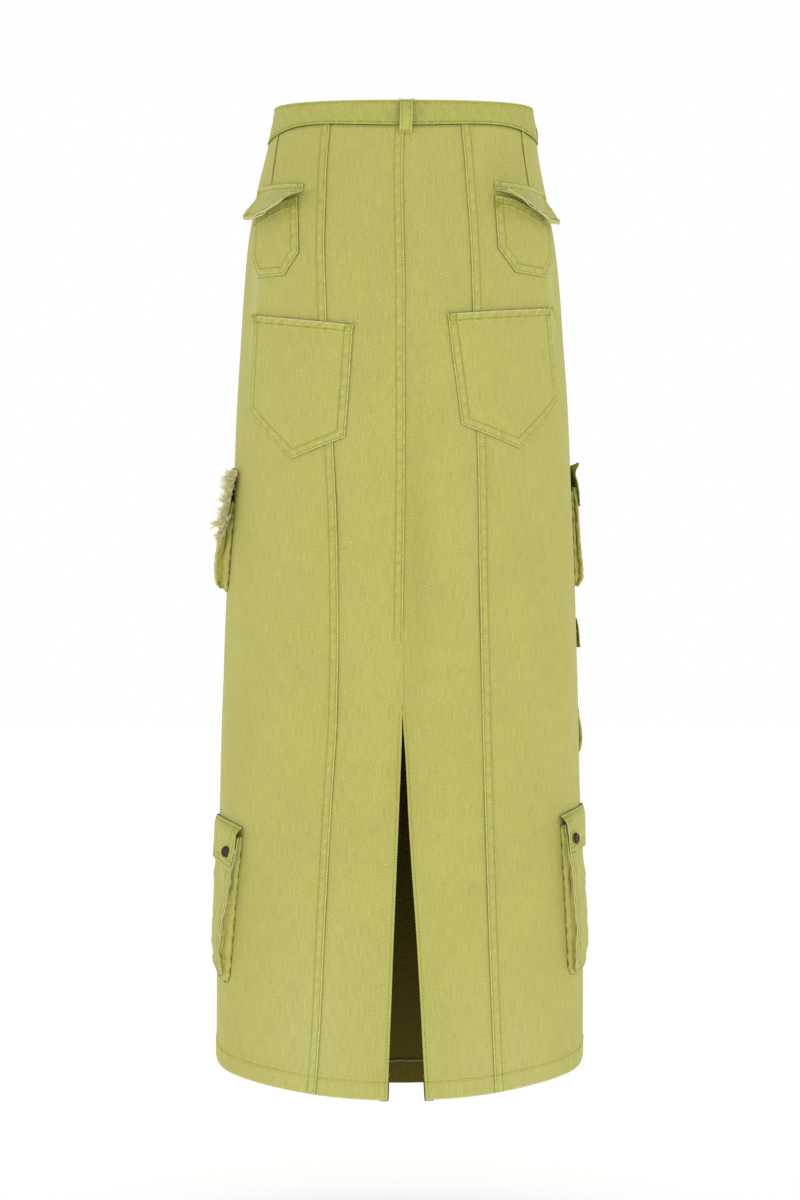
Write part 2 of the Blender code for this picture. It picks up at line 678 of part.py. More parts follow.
def build_cargo_flap(name, cargo, cover):
    columns = spread(-cover.back_overhang, cargo.width + cover.front_overhang, math.ceil(cargo.width / STEP))
    steps = spread(0, cover.above, 3) + spread(cover.above, cover.length, 3)[1:]

    def place(across, along):
        return cover_point(cargo, cover, across, along, COVER_THICK), cover_point(cargo, cover, across, along)

    wall_piece(name + "_flap", columns, steps, place, DENIM)


# The left middle flap's raw end is frayed: threads on a narrow strip beyond the cloth's edge.
FRAY_STRIP = 4.2 * MM
FRAY_GAP = 0.5 * MM        # between the strip and the flap
FRAY_START = 3 * MM        # below the flap's top edge
FRAY_PITCH = 2.5 * MM
FRAY_ROWS = 3
FRAY_LENGTH = 12 * MM
FRAY_TIP = 0.35            # a thread's tip beside its root


def build_fray(name, cargo, cover):
    """Threads that stand out from a strip beside the flap's back end, each one a face drawn outwards."""
    start = -cover.back_overhang - FRAY_GAP
    cells = int((cover.length - FRAY_START) / FRAY_PITCH)
    alongs = spread(FRAY_START, cover.length, cells)
    acrosses = spread(start - FRAY_STRIP, start, FRAY_ROWS)

    def place(across, along):
        return cover_point(cargo, cover, across, along, COVER_THICK), cover_point(cargo, cover, across, along)

    bm = bmesh.new()
    add_wall(bm, acrosses, alongs, place)
    bmesh.ops.recalc_face_normals(bm, faces=bm.faces[:])
    away = (skin(*on_pocket(cargo, start - FRAY_STRIP, 0)) - skin(*on_pocket(cargo, start, 0))).normalized()
    spots = [(place(across, along)[0] + place(across + FRAY_STRIP / FRAY_ROWS, along + FRAY_PITCH)[0]) / 2
             for across in acrosses[:-1] for along in alongs[:-1]]
    threads = []
    for number, spot in enumerate(spots):
        if (number + number // cells) % 2:
            face = min(bm.faces, key=lambda face: (face.calc_center_median() - spot).length)
            threads.append((number, face))
    for number, face in threads:
        sway = Vector((0, math.sin(number * 2.4) * 0.22, math.sin(number * 1.7) * 0.3 - 0.35))
        way = (face.normal + away * 0.35 + sway).normalized()
        reach = FRAY_LENGTH * (0.8 + 0.2 * math.sin(number * 3.1))
        for share, size, droop in ((0.5, 0.8, 0.0), (0.5, FRAY_TIP / 0.8, -0.3)):
            grown = bmesh.ops.extrude_discrete_faces(bm, faces=[face])["faces"]
            face = grown[0]
            middle = face.calc_center_median()
            for vert in face.verts:
                vert.co = middle + (vert.co - middle) * size + (way + Vector((0, 0, droop))) * reach * share
    return add_piece(name, bm, DENIM)


def build_cargo_pockets():
    build_fray("mid_cargo_left_fray", CARGO["mid_cargo_left"], COVERS["mid_cargo_left"])
    for name, cargo in CARGO.items():
        build_cargo_face(name, cargo)
        build_cargo_gusset(name, cargo)
        build_cargo_flap(name, cargo, COVERS[name])


# The low pockets' flaps close with a button near each end.
BUTTON_IN = 12 * MM        # from the flap's end
BUTTON_UP = 16 * MM        # from its lower edge


def build_pocket_buttons():
    for name in ("low_cargo_left", "low_cargo_right"):
        cargo, cover = CARGO[name], COVERS[name]
        along = cover.length - BUTTON_UP
        for end, across in (("back", BUTTON_IN), ("front", cargo.width - BUTTON_IN)):
            seat = cover_point(cargo, cover, across, along, COVER_THICK)
            beside = cover_point(cargo, cover, across + BUTTON_RADIUS, along, COVER_THICK) - seat
            below = cover_point(cargo, cover, across, along + BUTTON_RADIUS, COVER_THICK) - seat
            up = below.cross(beside).normalized() * cargo.side
            build_button(f"{name}_button_{end}", seat, up)


# ---------------------------------------------------------------- the front closing
FLY_WIDTH = 36 * MM
FLY_LENGTH = 150 * MM
FLY_BELOW = 4 * MM         # its top edge lies this far below the waistband's seam
FLY_TAPER = 0.75           # the part of its length where it starts to narrow, to half its width


def build_fly():
    """The stitched fly strip below the waistband, and the waistband's button over the overlap."""
    def place(across, part):
        height = WAIST_SEAM - FLY_BELOW - FLY_LENGTH * part
        narrowed = 0.5 * max(0, part - FLY_TAPER) / (1 - FLY_TAPER)
        around = half_girth(height) + (across - 0.5) * FLY_WIDTH * (1 - narrowed)
        return skin(around, height, LAY + CLOTH), skin(around, height, LAY)

    wall_piece("fly_placket", [0, 0.33, 0.67, 1], [0, 0.25, 0.5, FLY_TAPER, 0.9, 1], place, DENIM)
    seat = skin(half_girth(0.0), 0.0, BAND_OUT + BAND_THICK + UNDERLAP_CLEAR)
    build_button("waist_button", seat, Vector((0, 1, 0)), WAIST_BUTTON)


def build_part():
    build_panels()
    build_waistband()
    build_belt_loops()
    for name, lines in (HIP_POCKETS | PATCH_POCKETS).items():
        build_patch(name, lines)
    for name, hangs in HIP_FLAPS.items():
        build_hip_flap(name, hangs)
    build_cargo_pockets()
    build_pocket_buttons()
    build_fly()


for leftover in list(bpy.data.objects):
    bpy.data.objects.remove(leftover, do_unlink=True)

DENIM = material("washed lime denim", (0.49, 0.47, 0.13), 0.85)
METAL = material("antique brown metal", (0.09, 0.065, 0.045), 0.42, 0.85)

build_part()
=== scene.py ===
# %% [markdown]
# # A cargo skirt in washed lime denim
# The rigid frame already holds every sewn piece of the skirt as a plain solid. This script dresses it: each
# solid is replaced by a thin sheet of cloth with its folds, rolled edges, worn ridges and real stitches.
# Every finished piece rides on the frame's one body, because nothing on a cloth skirt turns on a hinge.

# %% Load the frame and keep its size
import math
from collections import namedtuple

import bmesh
import bpy
import numpy as np
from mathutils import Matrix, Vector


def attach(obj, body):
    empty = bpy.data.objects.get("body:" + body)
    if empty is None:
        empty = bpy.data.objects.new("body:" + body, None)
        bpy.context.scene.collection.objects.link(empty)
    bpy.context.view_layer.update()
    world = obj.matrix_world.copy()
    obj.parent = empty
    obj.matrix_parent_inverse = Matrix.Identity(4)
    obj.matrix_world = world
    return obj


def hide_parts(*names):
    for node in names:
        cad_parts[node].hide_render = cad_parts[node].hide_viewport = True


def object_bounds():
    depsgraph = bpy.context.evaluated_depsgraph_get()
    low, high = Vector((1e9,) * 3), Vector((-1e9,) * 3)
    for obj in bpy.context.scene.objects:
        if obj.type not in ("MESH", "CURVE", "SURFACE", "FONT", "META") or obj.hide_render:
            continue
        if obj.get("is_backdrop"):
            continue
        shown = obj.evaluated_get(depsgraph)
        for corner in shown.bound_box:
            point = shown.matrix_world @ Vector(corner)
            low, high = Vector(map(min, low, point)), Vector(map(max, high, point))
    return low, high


MM = 0.001
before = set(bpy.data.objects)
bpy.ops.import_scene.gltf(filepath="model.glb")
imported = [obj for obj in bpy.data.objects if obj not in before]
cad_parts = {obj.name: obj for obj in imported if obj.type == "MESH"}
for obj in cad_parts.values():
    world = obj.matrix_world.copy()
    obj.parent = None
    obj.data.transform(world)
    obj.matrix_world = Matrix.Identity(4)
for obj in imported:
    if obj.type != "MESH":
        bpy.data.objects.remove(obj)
cad_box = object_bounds()
print("solids in the frame:", len(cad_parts))

# %% [markdown]
# ## Camera, floor and light
# A skirt is shown straight from behind, so the camera is level with the middle of the skirt, and far enough
# away that the hem and the waist are seen at nearly the same angle. A round pale floor lies below the hem.
# The light is soft and comes from everywhere, a little less from overhead. A large lamp low on the left and a
# smaller one low on the right are a little stronger, so folds and raised edges still throw a faint shade.

# %% Camera
camera = bpy.data.objects.new("camera", bpy.data.cameras.new("camera"))
camera.location = (-0.004, -3.52, -0.5016)
camera.rotation_euler = (math.pi / 2, 0, 0)
camera.data.lens = 100
camera.data.sensor_width = 36
bpy.context.scene.collection.objects.link(camera)
bpy.context.scene.camera = camera
print("camera stands", -camera.location.y, "m behind the skirt")


# %% Floor
def node_material(name, **settings):
    """A material whose shader has these sockets set. Returns it with its node tree and its shader."""
    made = bpy.data.materials.new(name)
    made.use_nodes = True
    shader = made.node_tree.nodes["Principled BSDF"]
    for socket, value in settings.items():
        shader.inputs[socket.replace("_", " ")].default_value = value
    return made, made.node_tree, shader


def mesh_of(bm, name):
    """The finished bmesh as a mesh of this name."""
    mesh = bpy.data.meshes.new(name)
    bm.to_mesh(mesh)
    bm.free()
    return mesh


FLOOR_HEIGHT = -1.150
bm = bmesh.new()
bmesh.ops.create_circle(bm, cap_ends=True, segments=96, radius=14)
for vert in bm.verts:
    vert.co.z = FLOOR_HEIGHT
floor_mesh = mesh_of(bm, "studio_floor")
floor_paper, _, _ = node_material("studio paper", Base_Color=(0.62, 0.62, 0.62, 1), Roughness=0.9,
                                  Emission_Color=(1, 1, 1, 1), Emission_Strength=0.58)
floor_mesh.materials.append(floor_paper)
floor = bpy.data.objects.new("studio_floor", floor_mesh)
bpy.context.scene.collection.objects.link(floor)
floor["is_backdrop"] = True
print("floor at", FLOOR_HEIGHT, "m")


# %% Lamps and sky
def soft_lamp(name, place, turn, width, power):
    """A large square lamp. turn is its rotation in degrees."""
    lamp = bpy.data.objects.new(name, bpy.data.lights.new(name, "AREA"))
    lamp.data.size = width
    lamp.data.energy = power
    lamp.location = place
    lamp.rotation_euler = [math.radians(angle) for angle in turn]
    bpy.context.scene.collection.objects.link(lamp)


SKY_FADE = (0.15, 0.95, 1.00, 0.50)      # from one height of the sky to another, its strength falls so
studio = bpy.data.worlds.new("studio")
studio.use_nodes = True
sky = studio.node_tree
rise = sky.nodes.new("ShaderNodeSeparateXYZ")
dimmer = sky.nodes.new("ShaderNodeMapRange")
for socket, value in zip(dimmer.inputs[1:5], SKY_FADE):
    socket.default_value = value
sky.links.new(sky.nodes.new("ShaderNodeTexCoord").outputs["Generated"], rise.inputs[0])
sky.links.new(rise.outputs["Z"], dimmer.inputs["Value"])
sky.links.new(dimmer.outputs[0], sky.nodes["Background"].inputs["Strength"])
sky.nodes["Background"].inputs["Color"].default_value = (1, 1, 1, 1)
bpy.context.scene.world = studio
bpy.context.scene.view_settings.view_transform = "Standard"
soft_lamp("key_lamp", (-2.9, -2.3, -0.7), (90, 0, -51), 0.9, 9)
soft_lamp("low_lamp", (2.0, -2.9, -0.95), (94, 0, 34), 0.38, 11)
print("overhead the sky's strength is", SKY_FADE[3])

# %% [markdown]
# ## The body of the skirt, as a tape reads it
# Cloth is easiest to place by two measures that a tailor would take on it: how far round it is from the
# centre of the back, and how high it is from the waist line. The girth and the depth of the skirt come from a
# short table of level sections. skin() turns the two measures into points in space, many at a time, and any
# sheet that is drawn with it lies on the skirt's round by itself.

# %% The table of sections and the curves through it
Section = namedtuple("Section", "height half_width centre back front")
SECTIONS = [
    Section(0.030, 0.1330, 0.0000, 0.0890, 0.0890),
    Section(0.000, 0.1378, 0.0000, 0.0925, 0.0925),
    Section(-0.035, 0.1440, -0.0018, 0.0975, 0.0965),
    Section(-0.070, 0.1515, -0.0028, 0.1030, 0.1010),
    Section(-0.130, 0.1620, -0.0024, 0.1110, 0.1080),
    Section(-0.180, 0.1668, -0.0019, 0.1150, 0.1100),
    Section(-0.230, 0.1700, -0.0019, 0.1175, 0.1115),
    Section(-0.290, 0.1737, -0.0015, 0.1190, 0.1135),
    Section(-0.355, 0.1769, -0.0015, 0.1195, 0.1150),
    Section(-0.500, 0.1838, -0.0030, 0.1205, 0.1170),
    Section(-0.670, 0.1890, -0.0040, 0.1215, 0.1190),
    Section(-0.900, 0.1930, -0.0040, 0.1225, 0.1215),
    Section(-1.040, 0.1932, -0.0050, 0.1225, 0.1225),
]
SQUARENESS = 2.15          # the power of the section's curve: 2 is an ellipse, more is squarer


class Curve:
    """A smooth curve through the rows of a short table, read at any heights. It never overshoots a row."""

    def __init__(self, table, column):
        table = sorted(table, key=lambda row: row.height)
        self.heights = np.array([row.height for row in table])
        self.values = np.array([getattr(row, column) for row in table])
        steep = np.diff(self.values) / np.diff(self.heights)
        before, after = steep[:-1], steep[1:]
        same_way = before * after > 0
        between = np.where(same_way, 2 * before * after / np.where(same_way, before + after, 1), 0)
        self.slopes = np.concatenate([steep[:1], between, steep[-1:]])

    def __call__(self, height):
        height = np.clip(height, self.heights[0], self.heights[-1])
        row = np.searchsorted(self.heights, height, side="right") - 1
        row = np.minimum(row, len(self.heights) - 2)
        step = self.heights[row + 1] - self.heights[row]
        part = (height - self.heights[row]) / step
        rest = 1 - part
        return (rest * rest * (1 + 2 * part) * self.values[row]
                + part * part * (3 - 2 * part) * self.values[row + 1]
                + part * rest * rest * step * self.slopes[row]
                - part * part * rest * step * self.slopes[row + 1])


HALF_WIDTH = Curve(SECTIONS, "half_width")
CENTRE = Curve(SECTIONS, "centre")
BACK_DEPTH = Curve(SECTIONS, "back")
FRONT_DEPTH = Curve(SECTIONS, "front")
print("the skirt is", round(2 * float(HALF_WIDTH(-0.2)), 3), "m wide at the hip")


# %% A tape measure for every level
def signed_power(value, power):
    return np.sign(value) * np.abs(value) ** power


def section_point(turn, height):
    """Across and forward of the axis, at a turn in radians from the centre back."""
    sine, cosine = np.sin(turn), np.cos(turn)
    depth = np.where(cosine > 0, BACK_DEPTH(height), FRONT_DEPTH(height))
    across = signed_power(sine, 2 / SQUARENESS) * HALF_WIDTH(height)
    return across, -signed_power(cosine, 2 / SQUARENESS) * depth


TURNS = np.radians(np.arange(0, 182, 2))
LEVEL_STEP = 4 * MM
LEVELS = np.arange(-1.104, 0.060, LEVEL_STEP)
level_across, level_forward = section_point(TURNS[None, :], LEVELS[:, None])
level_steps = np.hypot(np.diff(level_across), np.diff(level_forward))
TAPE = np.concatenate([np.zeros((len(LEVELS), 1)), np.cumsum(level_steps, axis=1)], axis=1)


def tape(height):
    """The distances round the cloth from centre back to each of TURNS, for a list of heights."""
    spot = np.clip((height - LEVELS[0]) / LEVEL_STEP, 0, len(LEVELS) - 1.001)
    low = spot.astype(int)
    part = (spot - low)[:, None]
    return TAPE[low] * (1 - part) + TAPE[low + 1] * part


def round_to(turn_row, height):
    """How far it is round the cloth from the centre back to one of TURNS."""
    height = np.asarray(height, float)
    return tape(height.reshape(-1))[:, turn_row].reshape(height.shape)


def half_girth(height):
    return round_to(-1, height)


def side_seam(height):
    return round_to(len(TURNS) // 2, height)


def turn_at(around, height):
    """The turn where a distance round the cloth lies. The distance may run on past the centre front."""
    around, height = np.broadcast_arrays(np.asarray(around, float), np.asarray(height, float))
    flat = around.reshape(-1)
    lengths = tape(height.reshape(-1))
    full = 2 * lengths[:, -1]
    flat = (flat + full / 2) % full - full / 2
    far = np.abs(flat)
    step = np.clip((lengths <= far[:, None]).sum(axis=1) - 1, 0, len(TURNS) - 2)
    row = np.arange(len(flat))
    start, end = lengths[row, step], lengths[row, step + 1]
    turn = TURNS[step] + (far - start) / (end - start) * (TURNS[1] - TURNS[0])
    return (np.sign(flat) * turn).reshape(around.shape)


print("girth at the waist line", round(2 * float(half_girth(0.0)) * 1000), "mm, at the hip",
      round(2 * float(half_girth(-0.2)) * 1000), "mm")

# %% [markdown]
# ## Soft folds
# Heavy denim hardly drapes: worn, it keeps to the body and breaks into a few long, shallow folds. The larger
# ones belong to the frame and are repeated here with the same numbers. The creases are finer, and are listed
# in a table: shallow troughs and ridges of different lengths that lean one way or the other, some where
# cloth hangs from a pocket's corner and some on the sides that the wearer's legs push out.

# %% Folds and creases
Fold = namedtuple("Fold", "around height half_width half_length depth lean", defaults=[0.0])
FOLDS = [
    Fold(0.004, -0.370, 0.026, 0.150, -0.0030),
    Fold(-0.158, -0.560, 0.020, 0.260, 0.0020),
    Fold(0.148, -0.640, 0.024, 0.240, 0.0018),
    Fold(-0.122, -0.860, 0.026, 0.180, -0.0018),
    Fold(0.138, -0.900, 0.028, 0.160, -0.0016),
    Fold(0.330, -0.560, 0.030, 0.240, 0.0030),
    Fold(-0.380, -0.640, 0.034, 0.260, 0.0030),
    Fold(0.430, -0.800, 0.030, 0.240, -0.0028),
    Fold(-0.460, -0.420, 0.028, 0.200, -0.0026),
]
CREASES = [
    Fold(-0.026, -0.300, 0.009, 0.070, -0.0008, 0.10),
    Fold(0.033, -0.330, 0.010, 0.080, -0.0009, -0.12),
    Fold(-0.012, -0.470, 0.010, 0.110, 0.0008, -0.04),
    Fold(0.024, -0.440, 0.017, 0.150, -0.0020, 0.03),
    Fold(-0.090, -0.470, 0.013, 0.090, -0.0009, 0.16),
    Fold(0.098, -0.500, 0.014, 0.100, -0.0010, -0.14),
    Fold(-0.040, -0.730, 0.012, 0.110, -0.0008, 0.06),
    Fold(0.054, -0.760, 0.013, 0.120, 0.0009, -0.05),
    Fold(-0.104, -0.700, 0.011, 0.080, 0.0008, -0.08),
    Fold(0.116, -0.700, 0.012, 0.070, -0.0008, 0.10),
    Fold(-0.055, -0.930, 0.012, 0.070, 0.0009, 0.05),
    Fold(0.064, -0.950, 0.014, 0.060, -0.0009, -0.06),
    Fold(-0.150, -0.960, 0.012, 0.060, 0.0008, 0.04),
    Fold(0.160, -0.960, 0.014, 0.070, 0.0009, -0.04),
    Fold(-0.145, -0.400, 0.010, 0.060, 0.0009, 0.30),
    Fold(0.150, -0.390, 0.010, 0.060, 0.0008, -0.34),
    Fold(0.260, -0.300, 0.016, 0.090, -0.0012, 0.20),
    Fold(-0.290, -0.320, 0.018, 0.100, -0.0012, -0.22),
    Fold(0.360, -0.850, 0.020, 0.120, 0.0014, 0.10),
    Fold(-0.340, -0.900, 0.018, 0.100, -0.0012, 0.08),
    Fold(0.420, -0.420, 0.016, 0.110, 0.0012, -0.12),
    Fold(-0.430, -0.700, 0.018, 0.120, 0.0014, 0.10),
    Fold(0.455, -0.140, 0.014, 0.050, -0.0010, 0.35),
    Fold(-0.410, -0.160, 0.014, 0.060, 0.0010, -0.30),
]


def fold_depth(around, height, folds):
    full = 2 * half_girth(height)
    depth = np.zeros(np.shape(around))
    for fold in folds:
        middle = fold.around + fold.lean * (height - fold.height)
        apart = (around - middle + full / 2) % full - full / 2
        reach = (apart / fold.half_width) ** 2 + ((height - fold.height) / fold.half_length) ** 2
        depth = depth + fold.depth * np.exp(-reach)
    return depth


print(len(FOLDS), "large folds and", len(CREASES), "creases")


# %% From two measures to a point
def unit(vectors):
    return vectors / np.maximum(np.linalg.norm(vectors, axis=-1, keepdims=True), 1e-12)


def outward(turn, height):
    """The direction straight out of the cloth."""
    sine, cosine = np.sin(turn), np.cos(turn)
    bend = 2 * (SQUARENESS - 1) / SQUARENESS
    depth = np.where(cosine > 0, BACK_DEPTH(height), FRONT_DEPTH(height))
    across = signed_power(sine, bend) / HALF_WIDTH(height)
    forward = -signed_power(cosine, bend) / depth
    flat = unit(np.stack([across, forward], axis=-1))
    step = 2 * MM
    above = np.stack(section_point(turn, height + step), axis=-1)
    below = np.stack(section_point(turn, height - step), axis=-1)
    slope = (flat * (below - above)).sum(axis=-1) / (2 * step)
    return unit(np.concatenate([flat, slope[..., None]], axis=-1))


def skin(around, height, out=0.0):
    """The points on the cloth's face at these two measures, or so far out from it."""
    around, height, out = np.broadcast_arrays(np.asarray(around, float), np.asarray(height, float),
                                              np.asarray(out, float))
    turn = turn_at(around, height)
    across, forward = section_point(turn, height)
    on_face = np.stack([across + CENTRE(height), forward, height], axis=-1)
    return on_face + outward(turn, height) * (out + fold_depth(around, height, FOLDS + CREASES))[..., None]


print("the centre back at the waist line is at", skin(0.0, 0.0).round(4))

# %% [markdown]
# ## Level lines round the skirt
# The waistband, the seam below it and the hem aren't quite level: they dip and rise between back, side and
# front, as they do on a skirt that is filled out by a body.

# %% Waist and hem lines
WAIST_TOP, WAIST_SEAM = 0.0132, -0.0134
WAIST_TOP_RISE = 3 * MM
WAIST_SEAM_HUMP = 14 * MM
WAIST_SEAM_DIP = 8 * MM
HEM_BACK, HEM_FRONT, HEM_SIDE = -1.0120, -1.0290, -0.9800
SIDE_KICK = 9 * MM


def waist_top(around):
    return WAIST_TOP + WAIST_TOP_RISE * np.sin(turn_at(around, 0.0)) ** 2


def waist_seam(around):
    side = np.sin(turn_at(around, WAIST_SEAM)) ** 2
    return WAIST_SEAM + WAIST_SEAM_HUMP * side * (1 - side) - WAIST_SEAM_DIP * side ** 4


def hem(around):
    turn = turn_at(around, HEM_BACK)
    side = np.sin(turn) ** 2
    centre = np.where(np.cos(turn) > 0, HEM_BACK, HEM_FRONT)
    return centre + (HEM_SIDE - centre - SIDE_KICK) * side + SIDE_KICK * side ** 24


print("hem at the centre back", float(hem(np.array(0.0))))

# %% [markdown]
# ## The cloth's finish
# The twill is woven from dyed warp and paler weft, then washed, so its colour is never even: slubs in the
# yarn leave short upright streaks, the wash leaves faint clouds, and fine diagonal ribs catch the light.
# Where a folded edge stands up, the dye is rubbed off to a pale cream, and in the hollow beside it the colour
# stays deep. All of this is mixed from noise and wave patterns that follow the cloth's own measures, kept in
# the UV map "weave". A number at each point, "wear_and_shading", picks the pale and the deep colours, which
# also stand for painted light and painted shade: 1 is pale, -1 is deep, and below that lies a painted shadow
# line beside an edge.

# %% Colours, and nodes made short
# The pale colour also serves as painted light, and the deep colour as painted shade.
DENIM_COLOUR = (0.500, 0.478, 0.128)
PALE_AND_LIT_COLOUR = (0.68, 0.67, 0.34)
DEEP_AND_SHADED_COLOUR = (0.300, 0.285, 0.040)
# The wrong side is darkened far below the denim's own colour: painted shade for the skirt's inside.
SHADED_WRONG_COLOUR, SHADED_WRONG_PALE, SHADED_WRONG_DEEP = (0.092, 0.068, 0.003), (0.25, 0.21, 0.08), (0.03, 0.02, 0.001)
THREAD_COLOUR, THREAD_PALE = (0.250, 0.420, 0.002), (0.48, 0.56, 0.02)
METAL_COLOUR, METAL_PALE = (0.018, 0.010, 0.005), (0.085, 0.055, 0.030)
YARN_COLOUR, YARN_PALE = (0.74, 0.71, 0.31), (0.95, 0.92, 0.60)
TWILL_LEAN = 27            # degrees


class Nodes:
    """A short way to add nodes to a material and join them."""

    def __init__(self, tree):
        self.tree = tree

    def add(self, kind, **settings):
        node = self.tree.nodes.new("ShaderNode" + kind)
        for name, value in settings.items():
            setattr(node, name, value)
        return node

    def join(self, output, socket):
        self.tree.links.new(output, socket)

    def math(self, operation, *inputs, clamp=False):
        node = self.add("Math", operation=operation, use_clamp=clamp)
        for socket, value in zip(node.inputs, inputs):
            if isinstance(value, (int, float)):
                socket.default_value = value
            else:
                self.join(value, socket)
        return node.outputs[0]

    def noise(self, space, scale, detail=2.0, stretch=(1, 1, 1)):
        """Noise round 0, in the metres of a space: scale is how many grains go in a metre."""
        mapping = self.add("Mapping")
        mapping.inputs["Scale"].default_value = [scale * part for part in stretch]
        self.join(space, mapping.inputs["Vector"])
        node = self.add("TexNoise")
        node.inputs["Scale"].default_value = 1.0
        node.inputs["Detail"].default_value = detail
        self.join(mapping.outputs[0], node.inputs["Vector"])
        return self.math("SUBTRACT", node.outputs["Fac"], 0.5)

    def mix(self, share, first, second):
        node = self.add("Mix", data_type="RGBA")
        self.join(share, node.inputs[0])
        for socket, value in ((node.inputs[6], first), (node.inputs[7], second)):
            if isinstance(value, tuple):
                socket.default_value = (*value, 1)
            else:
                self.join(value, socket)
        return node.outputs[2]

    def bump(self, height, distance, strength, shader):
        node = self.add("Bump")
        node.inputs["Distance"].default_value = distance
        node.inputs["Strength"].default_value = strength
        self.join(height, node.inputs["Height"])
        self.join(node.outputs[0], shader.inputs["Normal"])


print("the twill's ribs lean", TWILL_LEAN, "degrees")


# %% Denim and its wrong side, darkened as painted shade
def cloth_finish(name, colour, pale_and_lit, deep_and_shaded, sheen):
    """A washed twill. It reads the UV map "weave" in metres and the number "wear_and_shading" of each point."""
    made, tree, shader = node_material(name, Roughness=0.85, Sheen_Weight=sheen, Sheen_Roughness=0.45,
                                       Sheen_Tint=(0.9, 0.92, 0.7, 1), Specular_IOR_Level=0.25)
    nodes = Nodes(tree)
    weave = nodes.add("UVMap", uv_map="weave").outputs[0]
    wear_and_shading = nodes.add("Attribute", attribute_name="wear_and_shading").outputs["Fac"]
    slubs = nodes.noise(weave, 900, 1.5, (1.0, 0.055, 1))
    streaks = nodes.noise(weave, 260, 2.0, (1.0, 0.05, 1))
    picks = nodes.noise(weave, 760, 1.0, (0.10, 1.0, 1))
    grain = nodes.noise(weave, 1050, 2.0, (1.0, 0.75, 1))
    clouds = nodes.noise(weave, 17, 3.0, (1.0, 0.6, 1))
    blotches = nodes.noise(weave, 70, 3.0)
    turned = nodes.add("Mapping")
    turned.inputs["Rotation"].default_value = (0, 0, math.radians(TWILL_LEAN))
    turned.inputs["Scale"].default_value = (1000, 1000, 1)
    nodes.join(weave, turned.inputs["Vector"])
    ribs = nodes.add("TexWave", wave_type="BANDS", bands_direction="X")
    ribs.inputs["Scale"].default_value = 0.165
    ribs.inputs["Distortion"].default_value = 0.6
    ribs.inputs["Detail"].default_value = 1.0
    nodes.join(turned.outputs[0], ribs.inputs["Vector"])
    twill = nodes.math("SUBTRACT", ribs.outputs["Fac"], 0.5)

    shade = nodes.math("MULTIPLY_ADD", slubs, 0.34, 1.0)
    for pattern, strength in ((streaks, 0.05), (picks, 0.07), (grain, 0.58), (clouds, 0.11), (blotches, 0.05),
                              (twill, 0.17)):
        shade = nodes.math("MULTIPLY_ADD", pattern, strength, shade)
    # Above zero: the pale colour, for rubbed dye and painted light.
    pale_breakup = nodes.math("MULTIPLY_ADD", nodes.noise(weave, 420, 3.0), 1.1, 0.75)
    paleness_and_light = nodes.math("MULTIPLY", nodes.math("MAXIMUM", wear_and_shading, 0.0), pale_breakup, clamp=True)
    # Below zero: the deep colour, for unfaded dye and painted shade.
    depth = nodes.math("MULTIPLY", wear_and_shading, -1.0, clamp=True)
    # Below -1: a painted shadow, a quarter of the deep colour.
    painted_shadow_share = nodes.math("MULTIPLY_ADD", wear_and_shading, -1.0, -1.0, clamp=True)
    body = nodes.mix(depth, nodes.mix(paleness_and_light, colour, pale_and_lit), deep_and_shaded)
    body = nodes.mix(painted_shadow_share, body, tuple(part * 0.25 for part in deep_and_shaded))
    scaled = nodes.add("VectorMath", operation="SCALE")
    nodes.join(body, scaled.inputs[0])
    nodes.join(shade, scaled.inputs["Scale"])
    nodes.join(scaled.outputs[0], shader.inputs["Base Color"])
    height = nodes.math("MULTIPLY_ADD", slubs, 0.9, twill)
    height = nodes.math("MULTIPLY_ADD", grain, 0.9, height)
    height = nodes.math("MULTIPLY_ADD", streaks, 0.5, height)
    nodes.bump(height, 0.16 * MM, 0.8, shader)
    return made


DENIM = cloth_finish("washed lime denim", DENIM_COLOUR, PALE_AND_LIT_COLOUR, DEEP_AND_SHADED_COLOUR, 0.16)
SHADED_WRONG_SIDE = cloth_finish("wrong side of the denim with painted shade", SHADED_WRONG_COLOUR, SHADED_WRONG_PALE, SHADED_WRONG_DEEP, 0.0)
print("cloth finishes:", DENIM.name, "and", SHADED_WRONG_SIDE.name)


# %% Thread, metal and frayed yarn
def plain_finish(name, colour, light_colour, grains, bump_size, **settings):
    """A finish whose colour wanders between two, by noise on the object's own coordinates."""
    made, tree, shader = node_material(name, **settings)
    nodes = Nodes(tree)
    place = nodes.add("TexCoord").outputs["Object"]
    grain = nodes.noise(place, grains, 3.0)
    share = nodes.math("MULTIPLY_ADD", grain, 1.8, 0.45, clamp=True)
    nodes.join(nodes.mix(share, colour, light_colour), shader.inputs["Base Color"])
    nodes.bump(grain, bump_size, 0.6, shader)
    return made


THREAD = plain_finish("lime topstitching", THREAD_COLOUR, THREAD_PALE, 55, 0.05 * MM, Roughness=0.6,
                      Specular_IOR_Level=0.15)
METAL = plain_finish("antique brown metal", METAL_COLOUR, METAL_PALE, 900, 0.05 * MM, Metallic=0.55,
                     Roughness=0.36)
FRAYED = plain_finish("frayed yarn", YARN_COLOUR, YARN_PALE, 420, 0.08 * MM, Roughness=0.8, Sheen_Weight=0.4)
print("plain finishes:", ", ".join(finish.name for finish in (THREAD, METAL, FRAYED)))

# %% [markdown]
# ## A sheet of cloth
# Every cut piece is made the same way. A flat grid is the cloth as it lies on the table, and each of its
# points is then put where sewing puts it. A grid's line is named by two numbers, the part of the way across
# or down the piece and a distance in metres from there, so that lines can be packed close beside an edge,
# where the cloth rolls and puckers, and kept wide apart elsewhere. Solidify gives the sheet its thickness
# and its wrong side, whose colour is darkened far below the cloth's own as painted shade for the inside.

